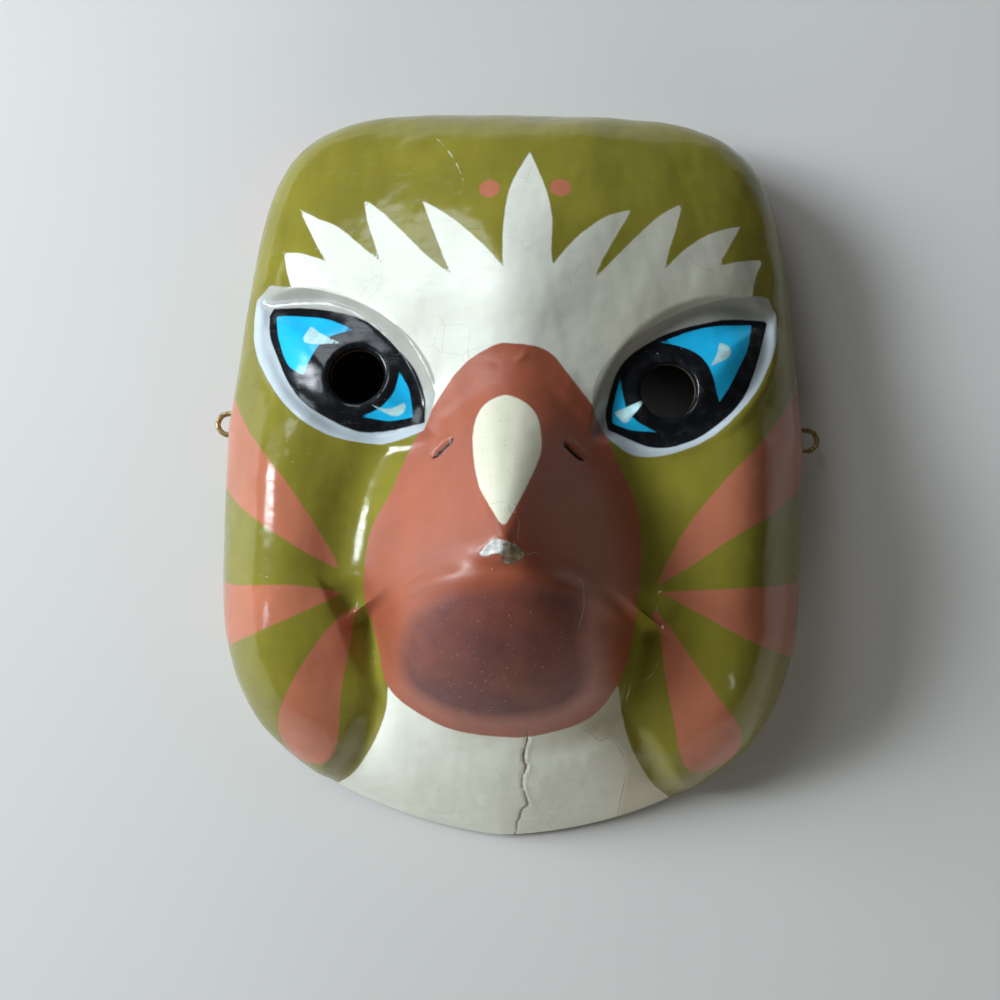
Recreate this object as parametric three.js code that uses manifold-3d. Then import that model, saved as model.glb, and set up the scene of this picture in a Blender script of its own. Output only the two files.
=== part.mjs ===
// Wall mask of moulded paper: a bird's face with a big rounded beak, open at the back.
// Millimetres. The mask lies face up on its flat rim: +Z comes out of the face, +Y runs to the
// crown of the head, and the origin is under the middle of the rim.

import * as THREE from "three";
import { mergeVertices } from "three/addons/utils/BufferGeometryUtils.js";
import Module from "manifold-3d";

const wasm = await Module();
wasm.setup();

// Outline of the rim: a squarish crown that narrows upwards, and a rounder chin.
const HALF_WIDTH = 94.8;
const HALF_HEIGHT = 120.4;
const TAPER = 0.114; // half-width lost for each millimetre above the cheeks
const TAPER_FROM = 12.6;
const CROWN_POWERS = [4.2, 7.6]; // of x and y in the outline above the middle
const CHIN_POWERS = [1.5, 4.6]; // and below it

// The moulded wall.
const WALL = 3.5;
const RIM_EDGE = 2.5; // height of the square edge all round the rim
const FACE_HEIGHT = 54;
const SHOULDER_POWER = 3; // how square the turn from side wall to face is
const JOWL_POWER = 1.95; // the same turn at the chin
const FACE_REACH = 52; // half-width to face height, for even steps over the shoulder

// Beak: a cone with a rounded ridge, above a bulging lower jaw.
const BEAK_TIP = [0, -25];
const TIP_HEIGHT = 92;
const CREASE_HEIGHT = 45;
const FLANK = 1.12; // the flank runs on past the painted edge by this factor
const RIDGE_POWER = 1.2;
const JAW_HEIGHT = 86.5;
const JAW_FOOT = 42;
const JAW_POWER = 2;
const MOUTH_DROP = 18; // from the tip to the corner of the mouth
const MOUTH_REACH = 42;
const MOUTH_POWER = 2; // how the line of the mouth bends down on its way out
const BEAK_HALF_OUTLINE = [
  [0, 36.3],
  [8, 34.8],
  [16, 28.5],
  [22, 19],
  [29, 6],
  [38, -14],
  [42, -34],
  [40, -48],
  [36, -61],
  [28, -71],
  [15, -78],
  [0, -80],
];

// Mouth: the upper beak overhangs the jaw along a line that drops to both corners.
const OVERHANG = [-4, 1.5]; // from the jaw's surface to the beak's, across the mouth line
const LIP = { rise: 0.8, below: 4.4, width: 3.2 };
const MOUTH_LINE = { depth: 0.7, below: 0.8, width: 2.6 };
const LIP_ENDS = [43, 34];
const MOUTH_CORNER = { x: 44, y: -39.5, depth: 2.5, width: 5 };
const BEAK_BLEND = 9; // width over which the beak runs out into the face

// Low forms of the face round the beak.
const NOSE_RIDGE = { rise: 5, width: 17, above: [95, 45], below: [-30, 10] };
const CHEEKBONE = { rise: 4.5, x: 69, y: -8, width: 14, length: 34 };
const DOME = { rise: 5, level: 0.4, width: 38, from: [-15, 40], fade: [1, 0.8] };
const CHEEK = { rise: 4, x: 63, y: -62, width: 24, length: 26, fade: 0.8 };
const BEAK_MOAT = { depth: 1.8, share: 1.2, width: 0.18, below: [-44, -30], above: [30, 5] };

// Neck between the two cheeks, with a fold where each cheek meets it.
const NECK_HEIGHT = 43;
const NECK_FROM = 0.6; // share of the way to the rim where the neck starts to fall
const NECK_POWER = 1.7;
const CHEEK_GAP = 37.8; // from the middle to the nearest point of the fold
const CHEEK_GAP_Y = -69;
const CHEEK_BEND = { above: 0.055, below: 0.0949, power: 1.5 };
const CHEEK_STEP = [-3, 6]; // from the neck's surface to the cheek's, across the fold
const CHEEK_FOLD = { depth: 3.6, reach: 5, round: 1.5, above: [-36, -48], fade: [0.97, 0.85] };
const NECK_END = [-54, -32];
const CHIN_TURN = [-22, -62]; // degrees below level over which the shoulder softens to the jowl

// Eyes: leaf shapes between two arcs, sunk under the brow, with a round hole to see through.
const EYES = [
  { side: "left", outer: [-77, 48.8], inner: [-25, 11.5], pupil: [-46.6, 26.8] },
  { side: "right", outer: [77.5, 49], inner: [28, 12], pupil: [46.4, 25] },
];
const LID_RISE = 14.4; // of the upper arc above the line between the corners
const LID_DROP = 16.2;
const LID_BAND = 5.2;
const PUPIL_RADIUS = 8.3;
const LID_SINK = { below: 1.5, above: 3.1, edge: 0.3, turn: 5 };
const EYEBALL = { rise: 2.2, reach: 13 };
const LOWER_LID = { rise: 0.9, off: 2.6, width: 2, ends: [3, -1] };
const BROW = { rise: 0.6, off: 10.5, width: 8, ends: [1.5, -3] };
const EYE_FADE = 0.93;

// Wire eyes for a string, one through each side wall.
const WIRE_RADIUS = 0.9;
const WIRE_GAP = 0.3;
const WIRE_HEIGHT = 8;
const WIRE_Y = 15.5;
const LOOP_RADIUS = 3.6; // to the middle of the wire
const LOOP_REACH = 102.2; // from the middle of the mask to the outside of the loop
const LOOP_TAIL = 4; // turned over inside the mask
const TAIL_BEND = 1.8;
const TAIL_SET_IN = 4;
const LOOP_STEPS = 26;
const QUARTER_TURN = 0.5523; // how far a quarter circle's control points reach, of its radius

// How finely the surfaces are divided, and how the back is found from the face.
const FACE_GRID = [50, 56];
const BACK_GRID = [26, 32];
const RIM_HALVINGS = 40;
const BEAK_SAMPLES = 480;
const SHOULDER_SAMPLES = 1000;
const PUPIL_SIDES = 40;
const BORE_SIDES = 12;
const WIRE_SEGMENTS = 4;
const SAME_POINT = 1e-4;
const CROWDING = 0.22; // how much closer the grid's lines stand in the middle
const NORMAL_REACH = 0.02; // to each side in the grid, for the surface's direction
const CREASE_SEARCH = 5; // how far round a point of the back a crease in the face is looked for
const CREASE_TURN = Math.PI / 6;
const BACK_FACE = 0.9; // share of the way to the rim where the back's side wall starts
const CHIN_BACK_FACE = 0.96;
const CHIN_BACK_Y = -80;

const PAPER = { color: 0x7f7d2c, roughness: 0.3, metalness: 0 };
const WIRE = { color: 0xb39a5c, roughness: 0.4, metalness: 0.9 };

// Smooth step from 0 at one value to 1 at the other, either way round.
function ramp(from, to, x) {
  const t = THREE.MathUtils.clamp((x - from) / (to - from), 0, 1);
  return t * t * (3 - 2 * t);
}

function swell(distance, width) {
  return Math.exp(-((distance / width) ** 2));
}

// A rounded ridge that runs beside an edge.
function bump({ rise, off, width }, distance) {
  return rise * swell(distance - off, width);
}

function smoothMax(a, b, blend) {
  const t = THREE.MathUtils.clamp(0.5 + (0.5 * (a - b)) / blend, 0, 1);
  return b + (a - b) * t + blend * t * (1 - t);
}

// How far out the rim lies in one direction from the origin, by halving.
function rimRadius(angle) {
  const c = Math.abs(Math.cos(angle));
  const s = Math.sin(angle);
  let low = 0;
  let high = 2 * HALF_HEIGHT;
  for (let i = 0; i < RIM_HALVINGS; i++) {
    const r = (low + high) / 2;
    const y = r * s;
    const width = HALF_WIDTH - TAPER * Math.max(y - TAPER_FROM, 0);
    const [px, py] = y > 0 ? CROWN_POWERS : CHIN_POWERS;
    const inside = ((r * c) / width) ** px + (Math.abs(y) / HALF_HEIGHT) ** py < 1;
    if (inside) low = r;
    else high = r;
  }
  return (low + high) / 2;
}

// The beak's painted edge as distance from the tip by direction, read from a closed spline.
function beakReach() {
  const right = BEAK_HALF_OUTLINE.map(([x, y]) => new THREE.Vector2(x, y));
  const left = right.slice(1, -1).reverse();
  const mirrored = left.map((p) => new THREE.Vector2(-p.x, p.y));
  const loop = [...right, ...mirrored].map((p) => new THREE.Vector3(p.x, p.y, 0));
  const curve = new THREE.CatmullRomCurve3(loop, true, "catmullrom", 0.5);
  const samples = curve.getPoints(BEAK_SAMPLES).slice(0, -1).map((p) => {
    const dx = p.x - BEAK_TIP[0];
    const dy = p.y - BEAK_TIP[1];
    return { angle: Math.atan2(dy, dx), reach: Math.hypot(dx, dy) };
  });
  return samples.sort((a, b) => a.angle - b.angle);
}

const beakEdge = beakReach();

// 0 at the beak's tip and 1 on its painted edge.
function beakShare(x, y) {
  const dx = x - BEAK_TIP[0];
  const dy = y - BEAK_TIP[1];
  const angle = Math.atan2(dy, dx);
  let high = beakEdge.findIndex((p) => p.angle > angle);
  if (high < 0) high = 0;
  const b = beakEdge[high];
  const a = beakEdge.at(high - 1);
  const turn = (2 * Math.PI + b.angle - a.angle) % (2 * Math.PI);
  const part = ((2 * Math.PI + angle - a.angle) % (2 * Math.PI)) / turn;
  return Math.hypot(dx, dy) / THREE.MathUtils.lerp(a.reach, b.reach, part);
}

// The circle through two corners with a given rise, and its centre.
function lidArc({ outer, inner }, rise, up) {
  const o = new THREE.Vector2(...outer);
  const i = new THREE.Vector2(...inner);
  const chord = o.distanceTo(i);
  const along = i.clone().sub(o).normalize();
  const across = new THREE.Vector2(-along.y, along.x);
  if (across.y < 0) across.negate();
  const middle = o.clone().add(i).multiplyScalar(0.5);
  const radius = (chord ** 2 / 4 + rise ** 2) / (2 * rise);
  const centre = middle.clone().addScaledVector(across, up * (rise - radius));
  return { centre, radius, across, middle };
}

const lids = EYES.map((eye) => ({
  upper: lidArc(eye, LID_RISE, 1),
  lower: lidArc(eye, LID_DROP, -1),
}));

// What one eye adds to the face: a sunk leaf shape with a swelling eyeball and a raised lower lid.
function eyeRelief({ upper, lower }, x, y) {
  const above = Math.hypot(x - upper.centre.x, y - upper.centre.y) - upper.radius;
  const below = Math.hypot(x - lower.centre.x, y - lower.centre.y) - lower.radius;
  const out = Math.max(above, below);
  const { across, middle } = upper;
  const side = (x - middle.x) * across.x + (y - middle.y) * across.y;
  const upperHalf = ramp(-LID_SINK.turn, LID_SINK.turn, side);
  const depth = THREE.MathUtils.lerp(LID_SINK.below, LID_SINK.above, upperHalf);
  const sunk = depth * ramp(LID_BAND, LID_SINK.edge, out);
  const ball = EYEBALL.rise * ramp(0, -EYEBALL.reach, out);
  const lip = bump(LOWER_LID, below) * (1 - upperHalf) * ramp(...LOWER_LID.ends, above);
  const ridge = bump(BROW, above) * ramp(...BROW.ends, below);
  return ball - sunk + lip + ridge;
}

// The fold where a cheek meets the neck and the jaw: distance outside it.
function pastCheekEdge(x, y) {
  const bend = y > CHEEK_GAP_Y ? CHEEK_BEND.above : CHEEK_BEND.below;
  const { power } = CHEEK_BEND;
  const lift = Math.abs(y - CHEEK_GAP_Y);
  const slope = power * bend * lift ** (power - 1);
  return (x - CHEEK_GAP - bend * lift ** power) / Math.hypot(1, slope);
}

// Depth of that fold, which is sharp at its bottom.
function cheekFold(past, y, out) {
  const off = Math.hypot(past, CHEEK_FOLD.round) - CHEEK_FOLD.round;
  const here = ramp(...CHEEK_FOLD.above, y) * ramp(...CHEEK_FOLD.fade, out);
  return CHEEK_FOLD.depth * Math.exp(-off / CHEEK_FOLD.reach) * here;
}

// The face without its beak and eyes: a pillow with a domed brow, a low ridge down the nose,
// cheekbones and full cheeks.
function pillowHeight(x, y, out, share) {
  const turn = THREE.MathUtils.radToDeg(Math.atan2(y, x));
  const power = THREE.MathUtils.lerp(SHOULDER_POWER, JOWL_POWER, ramp(...CHIN_TURN, turn));
  const rise = Math.max(1 - out ** power, 0) ** (1 / power);
  const nose = ramp(...NOSE_RIDGE.above, y) * ramp(...NOSE_RIDGE.below, y);
  const cheek = swell(x - CHEEK.x, CHEEK.width) * swell(y - CHEEK.y, CHEEK.length);
  const moat = ramp(...BEAK_MOAT.below, y) * ramp(...BEAK_MOAT.above, y);
  const bone = swell(x - CHEEKBONE.x, CHEEKBONE.width) * swell(y - CHEEKBONE.y, CHEEKBONE.length);
  const dome = (swell(x, DOME.width) - DOME.level) * ramp(...DOME.from, y);
  let height = THREE.MathUtils.lerp(RIM_EDGE, FACE_HEIGHT, rise);
  height += NOSE_RIDGE.rise * swell(x, NOSE_RIDGE.width) * nose;
  height += CHEEK.rise * cheek * (1 - ramp(CHEEK.fade, 1, out));
  height += CHEEKBONE.rise * bone + DOME.rise * dome * ramp(...DOME.fade, out);
  height -= BEAK_MOAT.depth * moat * swell(share - BEAK_MOAT.share, BEAK_MOAT.width);
  return height;
}

function neckHeight(out) {
  const fall = THREE.MathUtils.clamp((out - NECK_FROM) / (1 - NECK_FROM), 0, 1);
  return THREE.MathUtils.lerp(NECK_HEIGHT, RIM_EDGE, fall ** NECK_POWER);
}

// Upper beak, mouth and jaw, by the share of the way from the tip to the painted edge.
function beakHeight(x, y, share) {
  const flank = 1 - (share / FLANK) ** RIDGE_POWER;
  const upper = THREE.MathUtils.lerp(CREASE_HEIGHT, TIP_HEIGHT, flank);
  const jaw = THREE.MathUtils.lerp(JAW_HEIGHT, JAW_FOOT, share ** JAW_POWER);
  const pastMouth = y - BEAK_TIP[1] + MOUTH_DROP * (x / MOUTH_REACH) ** MOUTH_POWER;
  const lip = LIP.rise * swell(pastMouth + LIP.below, LIP.width);
  const line = MOUTH_LINE.depth * swell(pastMouth + MOUTH_LINE.below, MOUTH_LINE.width);
  const beak = THREE.MathUtils.lerp(jaw, upper, ramp(...OVERHANG, pastMouth));
  return beak + (lip - line) * ramp(...LIP_ENDS, x);
}

// Height of the face over a point, with out the share of the way from the middle to the rim.
function faceHeight(x, y, out) {
  const ax = Math.abs(x);
  const share = beakShare(x, y);
  const past = pastCheekEdge(ax, y);
  const onCheek = Math.max(ramp(...CHEEK_STEP, past), ramp(...NECK_END, y));
  const unfolded = THREE.MathUtils.lerp(neckHeight(out), pillowHeight(ax, y, out, share), onCheek);
  const ground = unfolded - cheekFold(past, y, out);
  const toCorner = Math.hypot(ax - MOUTH_CORNER.x, y - MOUTH_CORNER.y);
  let height = smoothMax(ground, beakHeight(ax, y, share), BEAK_BLEND);
  height -= MOUTH_CORNER.depth * swell(toCorner, MOUTH_CORNER.width);
  for (const lid of lids) height += eyeRelief(lid, x, y) * (1 - ramp(EYE_FADE, 1, out));
  return height;
}

// Steps of equal length along the shoulder's curve, from the middle of the face to the rim.
function shoulderSteps(count) {
  const steps = [{ length: 0, out: 0 }];
  let last = [0, 1];
  for (let i = 1; i <= count; i++) {
    const a = (i / count) * (Math.PI / 2);
    const next = [Math.sin(a), Math.cos(a)].map((v) => Math.max(v, 0) ** (2 / SHOULDER_POWER));
    const run = (next[0] - last[0]) * HALF_WIDTH;
    const drop = (next[1] - last[1]) * FACE_REACH;
    steps.push({ length: steps[i - 1].length + Math.hypot(run, drop), out: next[0] });
    last = next;
  }
  return steps;
}

const shoulder = shoulderSteps(SHOULDER_SAMPLES);

function outAt(share) {
  const length = share * shoulder.at(-1).length;
  const high = Math.max(shoulder.findIndex((s) => s.length >= length), 1);
  const a = shoulder[high - 1];
  const b = shoulder[high];
  return THREE.MathUtils.lerp(a.out, b.out, (length - a.length) / (b.length - a.length));
}

// A point of the square grid, from -1 to 1 both ways, laid on the face.
function facePoint(column, row) {
  const s = column - (CROWDING * Math.sin(Math.PI * column)) / Math.PI;
  const t = row - (CROWDING * Math.sin(Math.PI * row)) / Math.PI;
  const u = s * Math.sqrt(1 - (t * t) / 2);
  const v = t * Math.sqrt(1 - (s * s) / 2);
  const angle = Math.atan2(v, u);
  const out = outAt(Math.min(Math.hypot(u, v), 1));
  const radius = rimRadius(angle) * out;
  const x = radius * Math.cos(angle);
  const y = radius * Math.sin(angle);
  return new THREE.Vector3(x, y, faceHeight(x, y, out));
}

// The same point pushed in by the wall's thickness, square to the surface.
function backPoint(column, row) {
  const reach = NORMAL_REACH;
  const a = facePoint(Math.max(column - reach, -1), row);
  const b = facePoint(Math.min(column + reach, 1), row);
  const c = facePoint(column, Math.max(row - reach, -1));
  const d = facePoint(column, Math.min(row + reach, 1));
  const normal = b.sub(a).cross(d.sub(c)).normalize();
  return facePoint(column, row).addScaledVector(normal, -WALL);
}

function heightAt(x, y) {
  const out = Math.hypot(x, y) / rimRadius(Math.atan2(y, x));
  return faceHeight(x, y, Math.min(out, 1));
}

// The lowest place of the face near a point, with the general slope there taken off.
function lowestNear(x, y) {
  const at = (dx, dy) => heightAt(x + dx, y + dy);
  const reach = 2 * CREASE_SEARCH;
  const slopeX = (at(reach, 0) - at(-reach, 0)) / (2 * reach);
  const slopeY = (at(0, reach) - at(0, -reach)) / (2 * reach);
  let low = at(0, 0);
  for (const ring of [CREASE_SEARCH / 2, CREASE_SEARCH]) {
    for (let turn = 0; turn < 2 * Math.PI; turn += CREASE_TURN) {
      const dx = ring * Math.cos(turn);
      const dy = ring * Math.sin(turn);
      low = Math.min(low, at(dx, dy) - slopeX * dx - slopeY * dy);
    }
  }
  return low;
}

// Lowers a point of the back where a crease of the face would leave the wall thin.
function clearOfCreases(point) {
  const out = Math.hypot(point.x, point.y) / rimRadius(Math.atan2(point.y, point.x));
  const limit = point.y < CHIN_BACK_Y ? CHIN_BACK_FACE : BACK_FACE;
  if (out < limit) point.z = Math.min(point.z, lowestNear(point.x, point.y) - WALL);
}

// Indices round the edge of a grid, counter-clockwise seen from above.
function gridEdge(columns, rows) {
  const at = (i, j) => i + j * (columns + 1);
  const edge = [];
  for (let j = 0; j < rows; j++) edge.push(at(0, j));
  for (let i = 0; i < columns; i++) edge.push(at(i, rows));
  for (let j = rows; j > 0; j--) edge.push(at(columns, j));
  for (let i = columns; i > 0; i--) edge.push(at(i, 0));
  return edge;
}

// Evens a grid's points out a little, its edge left as it is.
function relaxed(points, columns, rows, passes) {
  const at = (i, j) => i + j * (columns + 1);
  let now = points;
  for (let pass = 0; pass < passes; pass++) {
    const next = now.map((p) => p.clone());
    for (let j = 1; j < rows; j++) {
      for (let i = 1; i < columns; i++) {
        const around = [at(i - 1, j), at(i + 1, j), at(i, j - 1), at(i, j + 1)];
        const mean = around.reduce((sum, k) => sum.add(now[k]), new THREE.Vector3());
        next[at(i, j)].lerp(mean.multiplyScalar(0.25), 0.5);
      }
    }
    now = next;
  }
  return now;
}

// How far a straight edge leaves the face at its middle.
function bowOff(a, b) {
  const middle = a.clone().lerp(b, 0.5);
  return Math.abs(heightAt(middle.x, middle.y) - middle.z);
}

// The height of an edge's middle, doubled.
function heightOf(a, b) {
  return a.z + b.z;
}

// Triangles over a grid. Each cell is split along the diagonal with the lower score, and a
// corner cell from its corner inwards.
function sheetFaces(points, columns, rows, score) {
  const at = (i, j) => i + j * (columns + 1);
  const faces = [];
  for (let j = 0; j < rows; j++) {
    for (let i = 0; i < columns; i++) {
      const [a, b, c, d] = [at(i, j), at(i, j + 1), at(i + 1, j + 1), at(i + 1, j)];
      const endColumn = i === 0 || i === columns - 1;
      const endRow = j === 0 || j === rows - 1;
      const inwards = (i === 0) === (j === 0);
      const better = score(points[a], points[c]) < score(points[b], points[d]);
      const fromA = endColumn && endRow ? inwards : better;
      if (fromA) faces.push(a, b, c, a, c, d);
      else faces.push(a, b, d, b, c, d);
    }
  }
  return faces;
}

// A closed body: a sheet over the grid, a skirt down from its edge and a flat floor.
function domeBody([columns, rows], floor, place, score) {
  const at = new THREE.PlaneGeometry(2, 2, columns, rows).getAttribute("position");
  const edge = gridEdge(columns, rows);
  const spots = Array.from({ length: at.count }, (_, i) => [at.getX(i), at.getY(i)]);
  const points = place(spots, edge);
  const faces = sheetFaces(points, columns, rows, score);
  const low = edge.map((i) => points.push(points[i].clone().setZ(floor)) - 1);
  const middle = points.push(new THREE.Vector3(0, 0, floor)) - 1;
  edge.forEach((a, k) => {
    const next = (k + 1) % edge.length;
    faces.push(a, low[k], low[next], a, low[next], edge[next]);
    faces.push(low[next], low[k], middle);
  });
  const geometry = new THREE.BufferGeometry().setFromPoints(points);
  geometry.setIndex(faces);
  return geometry;
}

// A geometry as a solid that can be cut and joined.
function solidOf(geometry) {
  const bare = geometry.clone();
  bare.deleteAttribute("normal");
  bare.deleteAttribute("uv");
  const merged = mergeVertices(bare, SAME_POINT);
  const vertProperties = new Float32Array(merged.getAttribute("position").array);
  const triVerts = new Uint32Array(merged.index.array);
  return new wasm.Manifold(new wasm.Mesh({ numProp: 3, vertProperties, triVerts }));
}

function geometryOf(solid) {
  const mesh = solid.getMesh();
  const geometry = new THREE.BufferGeometry();
  geometry.setAttribute("position", new THREE.BufferAttribute(mesh.vertProperties, 3));
  geometry.setIndex(new THREE.BufferAttribute(mesh.triVerts, 1));
  geometry.computeVertexNormals();
  return geometry;
}

function facePoints(spots) {
  return spots.map((spot) => facePoint(...spot));
}

// The back follows the face and meets the rim a wall's thickness in.
function backPoints(spots, edge) {
  const points = relaxed(spots.map((spot) => backPoint(...spot)), ...BACK_GRID, 1);
  points.forEach(clearOfCreases);
  for (const i of edge) {
    const rim = facePoint(...spots[i]).setZ(0);
    points[i].copy(rim.multiplyScalar(1 - WALL / rim.length())).setZ(RIM_EDGE);
  }
  return points;
}

function pupilCutter({ pupil }) {
  const height = 2 * FACE_HEIGHT;
  const cutter = new THREE.CylinderGeometry(PUPIL_RADIUS, PUPIL_RADIUS, height, PUPIL_SIDES);
  return cutter.rotateX(Math.PI / 2).translate(pupil[0], pupil[1], FACE_HEIGHT);
}

function sideWallX() {
  const angle = Math.atan2(WIRE_Y, HALF_WIDTH);
  return rimRadius(angle) * Math.cos(angle);
}

// The wire's path: a tail inside the wall, out through it, round the loop and back in.
function loopPath(side) {
  const bow = LOOP_REACH - WIRE_RADIUS - LOOP_RADIUS;
  const inside = sideWallX() - WALL - TAIL_SET_IN;
  const r = LOOP_RADIUS;
  const k = QUARTER_TURN * r;
  const at = (x, y, up) => new THREE.Vector3(side * x, WIRE_Y + y, WIRE_HEIGHT + up);
  const leg = (y) => [at(inside, y, LOOP_TAIL), at(inside, y, TAIL_BEND), at(inside, y, 0)];
  const [topEnd, topBend, topCorner] = leg(r);
  const [lowEnd, lowBend, lowCorner] = leg(-r);
  const turned = inside + TAIL_BEND;
  const path = new THREE.CurvePath();
  path.add(new THREE.LineCurve3(topEnd, topBend));
  path.add(new THREE.QuadraticBezierCurve3(topBend, topCorner, at(turned, r, 0)));
  path.add(new THREE.LineCurve3(at(turned, r, 0), at(bow, r, 0)));
  const quarters = [
    [at(bow, r, 0), at(bow + k, r, 0), at(bow + r, k, 0), at(bow + r, 0, 0)],
    [at(bow + r, 0, 0), at(bow + r, -k, 0), at(bow + k, -r, 0), at(bow, -r, 0)],
  ];
  for (const quarter of quarters) path.add(new THREE.CubicBezierCurve3(...quarter));
  path.add(new THREE.LineCurve3(at(bow, -r, 0), at(turned, -r, 0)));
  path.add(new THREE.QuadraticBezierCurve3(at(turned, -r, 0), lowCorner, lowBend));
  path.add(new THREE.LineCurve3(lowBend, lowEnd));
  return path;
}

function loopGeometry(side) {
  const round = new THREE.Shape().absarc(0, 0, WIRE_RADIUS, 0, 2 * Math.PI);
  return new THREE.ExtrudeGeometry(round, {
    steps: LOOP_STEPS,
    curveSegments: WIRE_SEGMENTS,
    bevelEnabled: false,
    extrudePath: loopPath(side),
  });
}

// A clear hole for each leg of a wire, through the side wall.
function wireCutters(side) {
  return [LOOP_RADIUS, -LOOP_RADIUS].map((offset) => {
    const bore = WIRE_RADIUS + WIRE_GAP;
    const cutter = new THREE.CylinderGeometry(bore, bore, 4 * WALL, BORE_SIDES);
    cutter.rotateZ(Math.PI / 2);
    return cutter.translate(side * (sideWallX() - WALL / 2), WIRE_Y + offset, WIRE_HEIGHT);
  });
}

function shellGeometry() {
  let shell = solidOf(domeBody(FACE_GRID, 0, facePoints, bowOff));
  shell = shell.subtract(solidOf(domeBody(BACK_GRID, -WALL, backPoints, heightOf)));
  for (const eye of EYES) shell = shell.subtract(solidOf(pupilCutter(eye)));
  for (const side of [-1, 1]) {
    for (const cutter of wireCutters(side)) shell = shell.subtract(solidOf(cutter));
  }
  return geometryOf(shell);
}

function namedMesh(name, geometry, finish) {
  const mesh = new THREE.Mesh(geometry, new THREE.MeshStandardMaterial(finish));
  mesh.name = name;
  return mesh;
}

const mask = new THREE.Group();
mask.add(namedMesh("mask_shell", shellGeometry(), PAPER));
mask.add(namedMesh("wire_loop_left", loopGeometry(-1), WIRE));
mask.add(namedMesh("wire_loop_right", loopGeometry(1), WIRE));

export default mask;
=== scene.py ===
"""A painted and varnished bird mask of moulded paper, built around its packed CAD model.

Everything is in metres, in the frame of the CAD model: the mask lies face up on its rim, +Z comes
out of the face and +Y runs to the crown of the head.
"""

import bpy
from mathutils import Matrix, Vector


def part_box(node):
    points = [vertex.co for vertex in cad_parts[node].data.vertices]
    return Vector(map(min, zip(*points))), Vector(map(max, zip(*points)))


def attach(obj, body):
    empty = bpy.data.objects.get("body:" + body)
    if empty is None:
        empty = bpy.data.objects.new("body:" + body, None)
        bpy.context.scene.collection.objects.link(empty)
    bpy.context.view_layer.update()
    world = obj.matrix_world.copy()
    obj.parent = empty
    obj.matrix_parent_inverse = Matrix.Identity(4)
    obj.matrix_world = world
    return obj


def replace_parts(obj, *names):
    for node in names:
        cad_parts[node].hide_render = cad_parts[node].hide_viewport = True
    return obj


bl_info = {
    "name": "Bird Wall Mask",
    "version": (1, 0, 0),
    "blender": (4, 5, 0),
    "location": "View3D > Sidebar > Bird Mask",
    "description": "Builds a painted bird mask of moulded paper with two wire eyes",
    "category": "Add Mesh",
}

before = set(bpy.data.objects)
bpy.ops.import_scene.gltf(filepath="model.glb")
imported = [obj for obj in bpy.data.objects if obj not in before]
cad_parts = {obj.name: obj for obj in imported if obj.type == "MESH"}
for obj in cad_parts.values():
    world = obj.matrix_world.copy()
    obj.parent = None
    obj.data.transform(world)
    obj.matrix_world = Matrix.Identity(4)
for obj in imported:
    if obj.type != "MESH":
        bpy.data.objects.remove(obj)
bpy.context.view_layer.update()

import math

import bpy
import numpy as np
from mathutils import Euler, Vector

_, SHELL_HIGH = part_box("mask_shell")
_, LOOP_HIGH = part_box("wire_loop_right")

# Outline of the rim.
HALF_WIDTH = SHELL_HIGH.x
HALF_HEIGHT = SHELL_HIGH.y
TAPER = 0.114
TAPER_FROM = 0.0126
CROWN_POWERS = (4.2, 7.6)
CHIN_POWERS = (1.5, 4.6)

# The moulded wall.
WALL = 0.0035
RIM_EDGE = 0.0025
FACE_HEIGHT = 0.054
SHOULDER_POWER = 3.0
JOWL_POWER = 1.95
CHIN_TURN = (-22, -62)  # degrees

# Beak, mouth and jaw.
BEAK_TIP = (0.0, -0.025)
TIP_HEIGHT = 0.092
CREASE_HEIGHT = 0.045
FLANK = 1.12
RIDGE_POWER = 1.2
JAW_HEIGHT = 0.0865
JAW_FOOT = 0.042
JAW_POWER = 2.0
MOUTH_DROP = 0.018
MOUTH_REACH = 0.042
MOUTH_POWER = 2.0
OVERHANG = (-0.004, 0.0015)
LIP = {"rise": 0.0008, "below": 0.0044, "width": 0.0032}
MOUTH_LINE = {"depth": 0.0007, "below": 0.0008, "width": 0.0026}
LIP_ENDS = (0.043, 0.034)
MOUTH_CORNER = {"x": 0.044, "y": -0.0395, "depth": 0.0025, "width": 0.005}
BEAK_BLEND = 0.009
BEAK_HALF_OUTLINE = [  # the right half of the painted edge, from above the tip to below it
    (0, 0.0363), (0.008, 0.0348), (0.016, 0.0285), (0.022, 0.019), (0.029, 0.006),
    (0.038, -0.014), (0.042, -0.034), (0.040, -0.048), (0.036, -0.061), (0.028, -0.071),
    (0.015, -0.078), (0, -0.080),
]

# Low forms of the face round the beak, and the neck between the cheeks.
NOSE_RIDGE = {"rise": 0.005, "width": 0.017, "above": (0.095, 0.045), "below": (-0.030, 0.010)}
CHEEKBONE = {"rise": 0.0045, "x": 0.069, "y": -0.008, "width": 0.014, "length": 0.034}
DOME = {"rise": 0.005, "level": 0.4, "width": 0.038, "from": (-0.015, 0.040), "fade": (1, 0.8)}
CHEEK = {"rise": 0.004, "x": 0.063, "y": -0.062, "width": 0.024, "length": 0.026, "fade": 0.8}
BEAK_MOAT = {"depth": 0.0018, "share": 1.2, "width": 0.18,
             "below": (-0.044, -0.030), "above": (0.030, 0.005)}
NECK_HEIGHT = 0.043
NECK_FROM = 0.6
NECK_POWER = 1.7
NECK_END = (-0.054, -0.032)
CHEEK_GAP = 0.0378
CHEEK_GAP_Y = -0.069
CHEEK_BENDS = (1.74, 3.0)  # above and below the narrowest place
CHEEK_BEND_POWER = 1.5
CHEEK_STEP = (-0.003, 0.006)
CHEEK_FOLD = {"depth": 0.0036, "reach": 0.005, "round": 0.0015,
              "above": (-0.036, -0.048), "fade": (0.97, 0.85)}

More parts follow.
